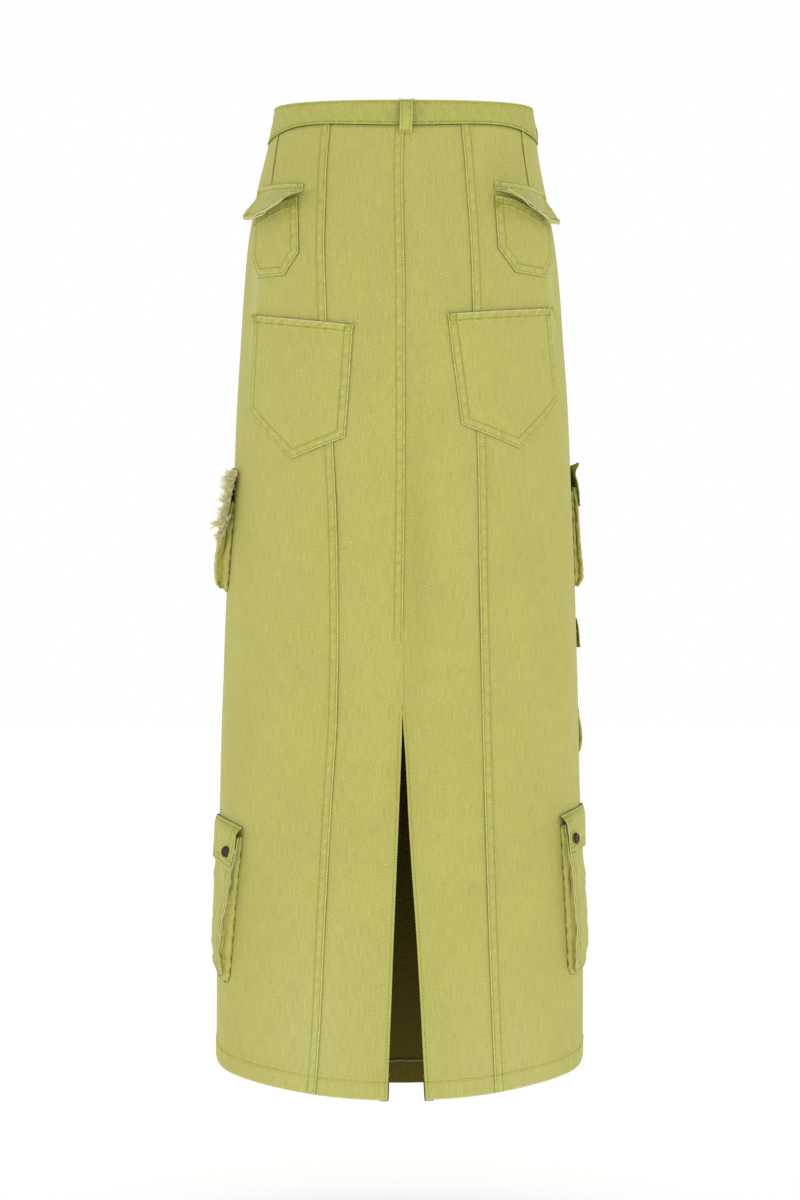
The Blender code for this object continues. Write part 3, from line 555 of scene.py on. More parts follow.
# %% Grid lines
CLOTH = 1.2 * MM
EDGE_STEPS = [0, 0.4, 0.8, 1.3, 1.9, 2.6, 3.4, 4.4, 5.6, 6.8, 7.8, 8.6, 9.3, 10.1, 11.0, 12.5, 15.0]
EDGE_REACH = EDGE_STEPS[-1] * MM
made_sheets = {}


def past_start(steps):
    """Grid lines at these millimetres past a sheet's first edge."""
    return [(0.0, step * MM) for step in steps]


def before_end(steps):
    """Grid lines at these millimetres before a sheet's last edge."""
    return [(1.0, -step * MM) for step in steps]


def spread_lines(parts, start, end):
    """Grid lines spread between a distance past the first edge and one before the last edge."""
    return [(part, start * (1 - part) - end * part) for part in parts]


END_LINES = before_end(EDGE_STEPS[-2::-1])


def lines_across(count):
    """Grid lines that are fine beside both edges and even between."""
    middle = spread_lines(np.linspace(0, 1, count + 1), EDGE_REACH, EDGE_REACH)
    return np.array(past_start(EDGE_STEPS[:-1]) + middle + END_LINES)


def wobble(along, wavelength, seed):
    """An uneven wave between about -1 and 1, the same each time for one seed."""
    turn = 2 * math.pi * along / wavelength
    return (np.sin(turn + seed * 1.7) + 0.7 * np.sin(turn * 0.618 + seed * 3.1)
            + 0.5 * np.sin(turn * 1.732 + seed * 0.9)) / 1.6


print("one cloth is", CLOTH / MM, "mm thick")


# %% From a flat grid to a shaped one
def triples(items, field="co"):
    """Where a mesh's points are, or the middles or the normals of its faces, as rows of three."""
    flat = np.empty(len(items) * 3)
    items.foreach_get(field, flat)
    return flat.reshape(-1, 3)


def corners_of(mesh):
    """The number of the point at each corner of each face."""
    corners = np.empty(len(mesh.loops), dtype=np.int32)
    mesh.loops.foreach_get("vertex_index", corners)
    return corners


def put_points(mesh, points):
    mesh.vertices.foreach_set("co", points.reshape(-1))
    mesh.update()


def sheet_mesh(name, columns, rows, place):
    """The bare grid of a sheet. place(columns, rows) gives its points, their weave measures and their wear.
    The grid is a unit square, so a point's place on it tells its column and its row."""
    bm = bmesh.new()
    bmesh.ops.create_grid(bm, x_segments=len(columns) - 1, y_segments=len(rows) - 1, size=0.5)
    mesh = mesh_of(bm, name)
    spots = triples(mesh.vertices)
    column = np.rint((spots[:, 0] + 0.5) * (len(columns) - 1)).astype(int)
    row = np.rint((0.5 - spots[:, 1]) * (len(rows) - 1)).astype(int)
    points, weave, wear_and_shading = place(columns[column], rows[row])
    mesh.uv_layers.new(name="weave").data.foreach_set("uv", weave[corners_of(mesh)].reshape(-1))
    mesh.attributes.new("wear_and_shading", "FLOAT", "POINT").data.foreach_set(
        "value", np.broadcast_to(wear_and_shading, len(points)).astype(np.float32))
    put_points(mesh, points)
    return mesh


print("a grid's lines beside an edge reach", EDGE_REACH / MM, "mm in")


# %% From a grid to a finished piece
def turn_outwards(mesh, away=None):
    """Turn a sheet's faces round if they look at the skirt's axis, or at a point inside a pocket."""
    centres, normals = triples(mesh.polygons, "center"), triples(mesh.polygons, "normal")
    out = centres * (1, 1, 0) if away is None else centres - away
    if (unit(out) * normals).sum() < 0:
        mesh.flip_normals()


def add_object(name, mesh, finishes):
    for finish in finishes:
        mesh.materials.append(finish)
    mesh.polygons.foreach_set("use_smooth", [True] * len(mesh.polygons))
    piece = bpy.data.objects.new(name, mesh)
    bpy.context.scene.collection.objects.link(piece)
    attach(piece, "root")
    return piece


def cut_size(columns, rows, place):
    """The width and the length of the flat cut, along the longest of three rows and of three columns."""
    def longest(lines):
        runs = [np.diff(place(*line)[0], axis=0) for line in lines]
        return round(max(*(float(np.linalg.norm(run, axis=1).sum()) for run in runs), 0.01), 4)

    width = longest((columns, np.tile(rows[at], (len(columns), 1))) for at in (0, len(rows) // 2, -1))
    length = longest((np.tile(columns[at], (len(rows), 1)), rows) for at in (0, len(columns) // 2, -1))
    return width, length


def show_inside(mesh, rows, first_inside):
    """Give the turned-up part of a sheet, from one of its rows on, the wrong side's finish of painted shade."""
    columns = len(mesh.vertices) // len(rows)
    row = len(rows) - 1 - corners_of(mesh).reshape(-1, 4).min(axis=1) // columns
    mesh.polygons.foreach_set("material_index", (row > first_inside).astype(np.int32))


def cloth_sheet(name, columns, rows, place, node, thick=CLOTH, away=None, lined=False,
                first_inside=None):
    """A piece of cloth that stands for one solid of the frame, listed with the size of its cut. A lined one
    has two layers and shows the cloth's face on both sides."""
    mesh = sheet_mesh(name, columns, rows, place)
    turn_outwards(mesh, away)
    if first_inside is not None:
        show_inside(mesh, rows, first_inside)
    flat_area = sum(face.area for face in mesh.polygons)
    piece = add_object(name, mesh, (DENIM, DENIM if lined else SHADED_WRONG_SIDE))
    solid = piece.modifiers.new("cloth thickness", "SOLIDIFY")
    solid.thickness = thick
    solid.offset = -1
    solid.material_offset = 1
    width, length = cut_size(columns, rows, place)
    area = round(min(flat_area, width * length), 6)
    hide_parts(node)
    made_sheets[name] = (width, length, area)
    return piece


print("the frame has room for", len(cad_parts), "finished pieces")

# %% [markdown]
# ## Topstitched edges
# A seam on jeans cloth is folded, laid over its neighbour and sewn down with two rows of thick thread. The
# thread pulls the cloth in and it shrinks when washed, so the fold stands up as a ridge, each row of stitches
# lies in a trough, and the cloth between puffs up unevenly. The wash then rubs the dye off the high places.
# One function gives this relief at any distance in from the edge, and every folded edge uses it.
# The dark outer line along each fold, where it meets the cloth below, is painted shadow.

# %% Relief beside an edge
ROW_NEAR, ROW_FAR = 2.0 * MM, 8.8 * MM


def hill(value, middle, width):
    """A smooth hill: 1 where the value is at the middle, and dying away on both sides."""
    return np.exp(-((value - middle) / width) ** 2)


def over_edge(apart, along, seed, rows=(ROW_NEAR, ROW_FAR), strength=1.0, rim=1.8):
    """Relief and rubbing in from a topstitched folded edge; rim is how dark its painted shadow line is."""
    far = apart / MM
    roping = 0.65 + 0.35 * wobble(along, 8.5 * MM, seed)
    ridge = 0.55 * roping * hill(far, 1.0, 0.8)
    rounded = -0.40 * hill(far, 0, 0.4)
    trough = sum(-0.30 * hill(far, row / MM, 0.75) for row in rows)
    middle, width = np.mean(rows) / MM, max((max(rows) - min(rows)) / MM, 4) * 0.36
    puff = wobble(along + 0.35 * apart, 10.5 * MM, seed + 2) * hill(far, middle, width)
    relief = (ridge + trough + 0.34 * puff) * MM * strength + rounded * MM
    # The outer line of the fold is darkened by rim as painted shadow, where the fold meets the cloth below.
    wear_and_shading = (1.1 * roping * hill(far, 0.9, 0.8) - rim * hill(far, 0, 0.30)
            - 0.40 * sum(hill(far, row / MM, 0.9) for row in rows)
            + 0.24 * np.maximum(puff, 0) - 0.24 * np.maximum(-puff, 0))
    return relief, wear_and_shading * strength


def under_edge(apart):
    """Relief of the lower piece, where it dives under a folded edge, and its unfaded dye and painted shade."""
    far = apart / MM
    return -0.25 * hill(far, 0, 1.3) * MM, -0.45 * hill(far, 0, 0.9) - 0.12 * hill(far, 0, 5)


def smooth_step(value):
    value = np.clip(value, 0, 1)
    return value * value * (3 - 2 * value)


print("rows of stitches lie", ROW_NEAR / MM, "and", ROW_FAR / MM, "mm in from an edge")

# %% [markdown]
# ## Stitches
# Thick topstitching thread is one of the first things seen on such a skirt, and at this distance each stitch
# is a short bright dash. A stitch is a small long bead. Thousands are needed, so one bead is made once, its
# copies are put into one mesh, and every copy is then stretched along its seam. A list collects the rows
# while the pieces are made, and each group of rows becomes one mesh at the end.

# %% Rows of thread
STITCH_PITCH = 3.1 * MM
STITCH_SIZE = (2.75 * MM, 1.00 * MM, 0.70 * MM)
TACK_THREADS = 9
NUDGE = (0, 0.3 * MM)      # a step to the next place on the cloth, short beside a stitch
threads = {}


def spaced(start, end, count):
    """Places across or down a sheet, from one part of it to another."""
    return np.stack([np.linspace(start, end, count), np.zeros(count)], axis=1)


def measured(start, end, count):
    """Places across or down a sheet, by their distance from its first edge."""
    return np.stack([np.zeros(count), np.linspace(start, end, count)], axis=1)


def neighbours(place, columns, rows):
    """The points of a row of thread and the direction straight out of the cloth at each."""
    here = place(columns, rows)[0]
    aside = place(columns + NUDGE, rows)[0] - here
    below = place(columns, rows + NUDGE)[0] - here
    normal = unit(np.cross(below, aside))
    inward = (normal[:, :2] * here[:, :2]).sum(axis=1).mean() < 0
    return here, -normal if inward else normal


def sew(group, place, columns, rows):
    """Lay a row of stitches on a sheet, through these places of it."""
    columns = np.atleast_2d(np.asarray(columns, float))
    rows = np.atleast_2d(np.asarray(rows, float))
    count = max(len(columns), len(rows))
    columns, rows = np.broadcast_to(columns, (count, 2)), np.broadcast_to(rows, (count, 2))
    points, normals = neighbours(place, columns, rows)
    steps = np.linalg.norm(np.diff(points, axis=0), axis=1)
    lengths = np.concatenate([[0], np.cumsum(steps)])
    stitches = max(1, int(lengths[-1] / STITCH_PITCH))
    middles = (np.arange(stitches) + 0.5) * lengths[-1] / stitches

    def at(distance, values):
        return np.stack([np.interp(distance, lengths, values[:, axis]) for axis in range(3)], axis=1)

    centre, normal = at(middles, points), unit(at(middles, normals))
    along = unit(at(middles + 0.4 * STITCH_PITCH, points) - at(middles - 0.4 * STITCH_PITCH, points))
    threads.setdefault(group, []).append((centre, along, normal, np.tile(STITCH_SIZE, (stitches, 1))))


def bartack(group, place, column, row, across, length=7 * MM, width=2.4 * MM):
    """A short dense bar of thread, across the cloth or down it."""
    columns, rows = np.tile(column, (TACK_THREADS, 1)), np.tile(row, (TACK_THREADS, 1))
    offsets = measured(-0.5 * length, 0.5 * length, TACK_THREADS)
    if across:
        columns = columns + offsets
        beside = place(columns, rows + NUDGE)[0]
    else:
        rows = rows + offsets
        beside = place(columns + NUDGE, rows)[0]
    points, normals = neighbours(place, columns, rows)
    size = np.tile((width, 1.15 * length / TACK_THREADS, 0.8 * MM), (TACK_THREADS, 1))
    threads.setdefault(group, []).append((points, unit(beside - points), normals, size))


print("a stitch is", STITCH_SIZE[0] / MM, "mm long")

# %% [markdown]
# ## The panels
# Seven panels make the skirt: two narrow ones beside the centre back, two wide ones that run to the side
# seams, and three at the front. Each is drawn between two seam lines, from the waistband down to the hem,
# round the fold of the hem and up inside to its raw edge. The left panel laps over the right one at the
# centre back until the slit starts, and the side panels lap over the centre ones.

# %% Seam lines
Seam = namedtuple("Seam", "height around")
SLIT_TOP = -0.6160
SOFT_SEAM_TOP = -0.545     # below this the centre back seam is only a soft fold
BACK_SEAM_LEFT = [Seam(0.00, 0.0008), Seam(-0.20, 0.0028), Seam(SLIT_TOP, 0.0022), Seam(-0.70, 0.0000),
                  Seam(-0.783, -0.0033), Seam(-0.87, -0.0070), Seam(-0.94, -0.0096), Seam(-1.04, -0.0126)]
BACK_SEAM_RIGHT = [Seam(0.00, 0.0008), Seam(-0.20, 0.0028), Seam(SLIT_TOP, 0.0022), Seam(-0.66, 0.0050),
                   Seam(-0.755, 0.0102), Seam(-0.84, 0.0163), Seam(-0.955, 0.0231), Seam(-1.04, 0.0288)]
PRINCESS_LEFT = [Seam(0.00, -0.0768), Seam(-0.082, -0.0785), Seam(-0.14, -0.0802), Seam(-0.215, -0.0779),
                 Seam(-0.342, -0.0713), Seam(-0.45, -0.0657), Seam(-0.554, -0.0637), Seam(-0.625, -0.0647),
                 Seam(-0.71, -0.0700), Seam(-0.84, -0.0773), Seam(-0.95, -0.0826), Seam(-1.04, -0.0890)]
PRINCESS_RIGHT = [Seam(0.00, 0.0580), Seam(-0.053, 0.0658), Seam(-0.136, 0.0712), Seam(-0.204, 0.0730),
                  Seam(-0.332, 0.0770), Seam(-0.476, 0.0807), Seam(-0.606, 0.0844), Seam(-0.737, 0.0882),
                  Seam(-0.885, 0.0932), Seam(-1.04, 0.1010)]
FRONT_SEAM = [Seam(0.00, 0.072), Seam(-0.23, 0.084), Seam(-0.60, 0.090), Seam(-1.04, 0.100)]
SEAM_GAP = 0.3 * MM
LAP = 10 * MM
LAP_RISE = 0.8 * MM
HEM_TURN = 1.3 * MM        # the radius of the hem's fold
HEM_FOLD = 24.5 * MM
HEM_ROW = 17.5 * MM        # the hem's row of stitches, above its fold
EDGE_TURN = 1.2 * MM       # the radius of the fold along the slit
TUCKED = [1.0, 2.4, 4.5, 7.0, 10.0]      # grid lines past an edge, where it is turned in or tucked under
SLIT_ROW = 3 * MM          # the one row of stitches along the slit

back_left, back_right = Curve(BACK_SEAM_LEFT, "around"), Curve(BACK_SEAM_RIGHT, "around")
princess_left, princess_right = Curve(PRINCESS_LEFT, "around"), Curve(PRINCESS_RIGHT, "around")
from_front = Curve(FRONT_SEAM, "around")


def front_seam_right(height):
    return half_girth(height) - from_front(height)


def front_seam_left(height):
    """The left front seam, counted on past the centre front."""
    return half_girth(height) + from_front(height)


print("the centre back seam opens", -SLIT_TOP, "m below the waist line")


# %% Relief of a panel's edges and hem
def seam_relief(style, apart, height, seed):
    """The relief of one edge of a panel. Over laps over its neighbour, under goes beneath it, and the centre
    ones part at the slit, where each is turned in."""
    lift = LAP_RISE * smooth_step((LAP + 1.5 * MM - apart) / (1.5 * MM))
    over, over_wear_and_shade = over_edge(apart, height, seed, rim=0.2)
    hidden, hidden_wear_and_shade = under_edge(apart)
    opened = smooth_step((SLIT_TOP - height) / (12 * MM))
    sewn = smooth_step((height - SOFT_SEAM_TOP) / (30 * MM))
    hemmed, hemmed_wear = over_edge(apart, height, seed + 5, rows=(SLIT_ROW,), strength=0.25, rim=0.0)
    soft = 0.6 * MM * hill(apart, 0, 5 * MM)
    if style == "over":
        return over + lift, over_wear_and_shade
    if style == "centre_over":
        relief = (over + lift) * sewn + soft * (1 - sewn) * (1 - opened) + hemmed * opened
        return relief, over_wear_and_shade * sewn + hemmed_wear * opened
    if style == "centre_under":
        relief = hidden * (1 - opened) * sewn + hemmed * opened
        return relief, hidden_wear_and_shade * (1 - opened) * sewn + hemmed_wear * opened
    if style == "under":
        return hidden, hidden_wear_and_shade
    return 0.5 * hidden, 0.5 * hidden_wear_and_shade


def hem_relief(above, around, seed):
    """The turned-up hem: a trough under its row of stitches, puckers below it and a rubbed fold."""
    far = above / MM
    row = hill(far, HEM_ROW / MM, 0.8)
    pucker = wobble(around + 0.5 * above, 15 * MM, seed) * hill(far, 9, 5)
    step = 0.5 * smooth_step((25 - far) / 3)
    fold = hill(far, 0, 1.6) * (0.6 + 0.4 * wobble(around, 11 * MM, seed + 4))
    return (step - 0.35 * row + 0.30 * pucker) * MM, 0.75 * fold - 0.2 * row + 0.12 * np.maximum(pucker, 0)


print("the hem's stitches are", HEM_ROW / MM, "mm above its fold")

# %% Darts and painted light and shade
# The darts that shape the hip, from the waistband to the flaps: two ends of a line on the cloth.
Dart = namedtuple("Dart", "top_around top_height foot_around foot_height")
DARTS = [Dart(-0.1461, 0.0100, -0.1502, -0.0710), Dart(0.1313, 0.0100, 0.1468, -0.0740)]
# Painted shade in the cloth's colour, and painted light below zero: a soft shade in the lee of the centre
# seam and at the slit's top, highlights in narrow strips at the sides of the hips, and light towards the hem.
PAINTED_SHADING = [Fold(0.016, -0.440, 0.013, 0.130, 0.24), Fold(0.004, -0.680, 0.013, 0.050, 0.20),
          Fold(-0.174, -0.170, 0.009, 0.100, -0.45), Fold(0.178, -0.170, 0.008, 0.080, -0.25),
          Fold(-0.090, -0.960, 0.050, 0.110, -0.24), Fold(0.110, -0.985, 0.060, 0.080, -0.22)]


def dart_relief(around, height):
    """A dart is a fold pressed to one side: a small step with a paler crest and a painted shade line beside it.
    """
    relief, wear_and_shading = np.zeros(around.shape), np.zeros(around.shape)
    for dart in DARTS:
        part = (dart.top_height - height) / (dart.top_height - dart.foot_height)
        apart = around - dart.top_around - (dart.foot_around - dart.top_around) * part
        apart = apart * np.sign(-dart.top_around)
        inside = smooth_step((1.02 - part) * 12)
        far = apart / MM
        step = np.where(far < 0, hill(far, 0, 4), 0.0) * 0.9
        relief = relief + inside * (step - 0.45 * hill(far, 0.6, 0.8)) * MM
        # The paler crest is rubbed dye; the dark line beside the step is painted shade.
        wear_and_shading = wear_and_shading + inside * (0.8 * hill(far, -0.7, 0.7) - 2.1 * hill(far, 0.6, 0.9))
    return relief, wear_and_shading


print(len(DARTS), "darts and", len(PAINTED_SHADING), "places of painted shading")


# %% How a panel lies
def edge_path(style, past, height):
    """Where the cloth goes at and past an edge: how far past the seam line, how far out, and how much of it
    is the outer face."""
    turn = np.clip((past + EDGE_TURN) / EDGE_TURN, 0, math.pi)
    inside = np.maximum(past + EDGE_TURN - EDGE_TURN * math.pi, 0)
    folded_past = np.where(past > -EDGE_TURN, EDGE_TURN * (np.sin(turn) - 1) - inside, past)
    folded_out = -EDGE_TURN * (1 - np.cos(turn))
    tucked_out = -0.6 * MM * smooth_step(past / (1.5 * MM))
    opened = smooth_step((SLIT_TOP - height) / (10 * MM))
    if style == "centre_over":
        return folded_past, folded_out, np.cos(turn / 2) ** 2
    if style == "centre_under":
        share = np.cos(turn / 2) ** 2
        return (past * (1 - opened) + folded_past * opened, tucked_out * (1 - opened) + folded_out * opened,
                1 - opened + share * opened)
    return past, tucked_out, np.ones(len(past))


def panel_place(first_edge, last_edge, first_style, last_style, seed):
    def place(columns, rows):
        part, past = rows[:, 0], rows[:, 1]
        folded = np.where(part >= 1, np.maximum(past, 0), 0)

        def around_at(height):
            first, last = first_edge(height) + SEAM_GAP / 2, last_edge(height) - SEAM_GAP / 2
            around = first + (last - first) * columns[:, 0] + columns[:, 1]
            first_past, first_out, first_face = edge_path(first_style, first - around, height)
            last_past, last_out, last_face = edge_path(last_style, around - last, height)
            near_first = around < (first + last) / 2
            around = np.where(near_first, first - first_past, last + last_past)
            if last_style == "centre_over":
                closed = smooth_step((SOFT_SEAM_TOP - height) / (20 * MM))
                closed = closed * smooth_step((height - SLIT_TOP) / (8 * MM))
                around = around + np.where(near_first, 0, 1.2 * MM * closed * hill(around, last, 8 * MM))
            return around, first, last, np.where(near_first, first_out, last_out), first_face * last_face

        level = np.zeros(len(columns))
        top = waist_seam(around_at(level + WAIST_SEAM)[0]) - SEAM_GAP
        at_hem = around_at(level + HEM_BACK)[0]
        foot = hem(at_hem) + HEM_TURN
        height = top + (foot - top) * part - (past - folded)
        turn = np.minimum(folded / HEM_TURN, math.pi)
        inside = np.maximum(folded - math.pi * HEM_TURN, 0)
        raw = 1.2 * MM * wobble(at_hem, 19 * MM, seed) * inside / HEM_FOLD
        height = height - HEM_TURN * np.sin(turn) + inside + raw
        around, first, last, edge_out, face = around_at(height)
        first_relief, first_wear_and_shade = seam_relief(first_style, np.maximum(around - first, 0), height, seed)
        last_relief, last_wear_and_shade = seam_relief(last_style, np.maximum(last - around, 0), height, seed + 1)
        low_relief, low_tone = hem_relief(height - foot + HEM_TURN, around, seed)
        outer = np.cos(turn / 2) ** 2 * face
        dart, dart_wear_and_shade = dart_relief(around, height)
        out = outer * (first_relief + last_relief + low_relief + dart) - HEM_TURN * (1 - np.cos(turn))
        out = out + edge_out - 0.5 * MM * inside / HEM_FOLD
        slack = np.sin(math.pi * np.clip((height + 1.0) / 0.98, 0, 1))
        slack = 0.35 * MM * wobble(around + 0.2 * height, 47 * MM, seed + 7) * slack
        wear_and_shading = outer * (first_wear_and_shade + last_wear_and_shade + low_tone + dart_wear_and_shade) + 0.6 * np.sin(turn)
        wear_and_shading = wear_and_shading + 1.2 * smooth_step((inside - HEM_FOLD + 2.5 * MM) / MM)
        # Painted shade and painted light from the table above are laid into this number.
        wear_and_shading = wear_and_shading - outer * fold_depth(around, height, PAINTED_SHADING)
        return skin(around, height, out + outer * slack), np.stack([around, height], axis=1), wear_and_shading

    return place


print("the slit's edges are turned in", TUCKED[-1], "mm")


# %% Make the panels
def panel_columns(count, first_style, last_style, darted=None):
    """Grid lines across a panel. A few lie past each edge that is lapped over or turned in, and they are
    close between the parts where it is darted."""
    columns = lines_across(count)
    if darted:
        middle = columns[:, 0] * (1 - columns[:, 0]) > 0
        fine = np.linspace(*darted, 26)
        columns = np.concatenate([columns[~middle & (columns[:, 0] < 0.5)],
                                  np.array([(part, EDGE_REACH * (1 - 2 * part)) for part in sorted(
                                      set(np.linspace(0, 1, count + 1)) | set(fine))]),
                                  columns[~middle & (columns[:, 0] > 0.5)]])
        columns = np.unique(columns.round(7), axis=0)
    if first_style.endswith("under"):
        columns = np.concatenate([past_start([-step for step in TUCKED[::-1]]), columns])
    if last_style in ("under", "centre_over"):
        columns = np.concatenate([columns, before_end([-step for step in TUCKED])])
    return columns


FOLD_ROWS = 6
HEM_STEPS = [26, 24, 22, 20.5, 19.5, 18.7, 18.1, 17.5, 16.9, 16.3, 15.4, 14, 12, 10, 8, 6, 4.5, 3.2, 2.2, 1.4,
             0.7, 0]
HEM_INSIDE = [HEM_FOLD * part for part in (0.15, 0.3, 0.45, 0.6, 0.75, 0.9, 0.95, 1)]


def over_fold(radius, inside):
    """Rows half round a fold of this radius, and then at these distances down its inner side."""
    return ([(1.0, radius * math.pi * step / FOLD_ROWS) for step in range(1, FOLD_ROWS + 1)]
            + [(1.0, radius * math.pi + distance) for distance in inside])


def panel_rows(longest):
    """Rows down a panel: even ones, close ones over the hem's stitches, the fold and the part inside."""
    count = math.ceil(0.975 / longest)
    plain = [(part, 0.0) for part in np.linspace(0, 0.972, count)]
    return np.array(plain + before_end(HEM_STEPS) + over_fold(HEM_TURN, HEM_INSIDE))


INSIDE_ROWS = len(HEM_INSIDE) + FOLD_ROWS // 2     # the rows past the middle of the hem's fold
Panel = namedtuple("Panel", "first_edge last_edge first_style last_style seed columns longest darted",
                   defaults=[None])
PANELS = {
    "back_centre_left": Panel(princess_left, back_left, "under", "centre_over", 11, 10, 4 * MM),
    "back_centre_right": Panel(back_right, princess_right, "centre_under", "under", 12, 11, 4 * MM),
    "back_side_left": Panel(lambda height: -side_seam(height), princess_left, "plain", "over", 13, 24, 4 * MM,
                            (0.30, 0.56)),
    "back_side_right": Panel(princess_right, side_seam, "over", "plain", 14, 24, 4 * MM, (0.42, 0.72)),
    "front_side_right": Panel(side_seam, front_seam_right, "under", "over", 15, 16, 7 * MM),
    "front_centre": Panel(front_seam_right, front_seam_left, "under", "under", 16, 18, 7 * MM),
    "front_side_left": Panel(lambda height: -front_seam_right(height), lambda height: -side_seam(height),
                             "over", "under", 17, 16, 7 * MM),
}
panel_places = {}
for name, panel in PANELS.items():
    panel_places[name] = panel_place(panel.first_edge, panel.last_edge, panel.first_style, panel.last_style,
                                     panel.seed)
    columns = panel_columns(panel.columns, panel.first_style, panel.last_style, panel.darted)
    rows = panel_rows(panel.longest)
    cloth_sheet("cloth_" + name, columns, rows, panel_places[name], name,
                first_inside=len(rows) - INSIDE_ROWS)
    print(name, "cut", *made_sheets["cloth_" + name])

# %% Sew the panels
BACK_LENGTH = WAIST_SEAM - HEM_BACK
SEWN_TO = (WAIST_SEAM - SOFT_SEAM_TOP) / BACK_LENGTH   # the part of a panel's length where its rows end
SLIT_FROM = (WAIST_SEAM - SLIT_TOP) / BACK_LENGTH
TOP_PART, FOOT_PART = 0.002, 0.999
LAPPED = {"back_side_left": 1, "back_side_right": 0, "front_side_right": 1, "front_side_left": 0}
for name, edge in LAPPED.items():
    for row in (ROW_NEAR, ROW_FAR):
        sew("long_seams", panel_places[name], (edge, -row if edge else row), spaced(TOP_PART, FOOT_PART, 400))
for row in (ROW_NEAR, ROW_FAR):
    sew("long_seams", panel_places["back_centre_left"], (1.0, -row), spaced(TOP_PART, SEWN_TO, 240))
sew("long_seams", panel_places["back_centre_left"], (1.0, -SLIT_ROW), spaced(SLIT_FROM, FOOT_PART, 180))
sew("long_seams", panel_places["back_centre_right"], (0.0, SLIT_ROW), spaced(SLIT_FROM, FOOT_PART, 180))
for place in panel_places.values():
    sew("hem", place, spaced(0, 1, 60), (1.0, -HEM_ROW))
bartack("tacks", panel_places["back_centre_left"], (1.0, -0.8 * MM), (SLIT_FROM - 0.004, 0.0), False, 4 * MM,
        2 * MM)
print("rows of thread so far:", sum(len(rows) for rows in threads.values()))

# %% [markdown]
# ## The waistband and the belt loops
# The band is one strip folded over its upper edge and sewn on with a row of stitches near each edge, so it is
# drawn as one sheet that goes up the outside, over the fold and down inside. Its right end lies over its left
# at the front. A belt loop is a narrow folded strip that is sewn down only at its two ends; the one at the
# back is frayed at the top.

# %% The waistband
BAND_OUT = 1.0 * MM
BAND_THICK = 2.6 * MM
BAND_TURN = BAND_THICK / 2
UNDERLAP, OVERLAP = 22 * MM, 18 * MM
OVERLAP_RISE = 30 * MM
UNDERLAP_CLEAR = 0.6 * MM
BAND_LOW_ROW = 2.6 * MM
WAIST_GIRTH = float(half_girth(0.0))
BAND_START, BAND_END = -WAIST_GIRTH - UNDERLAP, WAIST_GIRTH + OVERLAP


def band_place(columns, rows):
    """Rows run from the outer foot (0) to the fold, and past it down the inside as a distance."""
    around = BAND_START + (BAND_END - BAND_START) * columns[:, 0] + columns[:, 1]
    top, foot = waist_top(around) - BAND_TURN, waist_seam(around) + SEAM_GAP / 2
    part, past = rows[:, 0], rows[:, 1]
    folded = np.where(part >= 1, np.maximum(past, 0), 0)
    above = (top - foot) * part + (past - folded)
    turn = np.minimum(folded / BAND_TURN, math.pi)
    single = smooth_step((WAIST_GIRTH - UNDERLAP - OVERLAP_RISE - around) / OVERLAP_RISE)
    inside = np.maximum(folded - math.pi * BAND_TURN, 0) * (0.7 + 0.3 * single)
    height = foot + above + BAND_TURN * np.sin(turn) - inside
    climb = BAND_THICK + UNDERLAP_CLEAR
    out = BAND_OUT + climb * smooth_step((around - (WAIST_GIRTH - UNDERLAP - OVERLAP_RISE)) / OVERLAP_RISE)
    low, low_tone = over_edge(above, around, 31, rows=(BAND_LOW_ROW,), rim=0.6)
    high, high_wear_and_shade = over_edge(top - foot - above + BAND_TURN, around, 33, rows=(3.0 * MM,), strength=0.6)
    pucker = wobble(around + 0.6 * above, 12 * MM, 35) * np.sin(math.pi * np.clip(part, 0, 1))
    outer = np.cos(turn / 2) ** 2
    out = out + outer * (low + high + 0.30 * MM * pucker) - BAND_TURN * (1 - np.cos(turn))
    out = out - 1.4 * MM * single * smooth_step((inside - 10 * MM) / (8 * MM))
    wear_and_shading = outer * (low_tone + high_wear_and_shade + 0.15 * pucker - 0.12)
    return skin(around, height, out), np.stack([around, height], axis=1), wear_and_shading


band_rows = past_start([0, 0.5, 1.0, 1.6, 2.1, 2.6, 3.1, 3.8, 5])
band_rows += spread_lines((0.3, 0.42, 0.54, 0.66, 0.76), 0.0, 0.0)
band_rows += before_end([4.2, 3.2, 2.4, 1.8, 1.2, 0.6, 0])
band_rows += over_fold(BAND_TURN, [step * MM for step in (3, 7, 11, 15, 19, 23, 27, 32)])
cloth_sheet("cloth_waistband", spaced(0, 1, 241), np.array(band_rows[::-1]), band_place, "waistband")
for row in ((0.0, 0.5 * MM), (0.0, BAND_LOW_ROW), (1.0, -0.7 * MM)):
    sew("waist", band_place, spaced(0.004, 0.996, 500), row)
for end in ((0.0, 2.5 * MM), (1.0, -2.5 * MM)):
    sew("waist", band_place, end, spaced(0.08, 0.94, 12))
print("waistband cut", *made_sheets["cloth_waistband"])

# %% The belt loops
LOOP_WIDTH = 13 * MM
LOOP_THICK = 1.8 * MM
LOOP_STAND = 6.2 * MM
LOOP_DROP = 9 * MM
LOOP_BELOW_TOP = 0.6 * MM
LOOP_ROW = 2.2 * MM
LAY = 0.8 * MM             # the air between a panel and a piece that lies on it


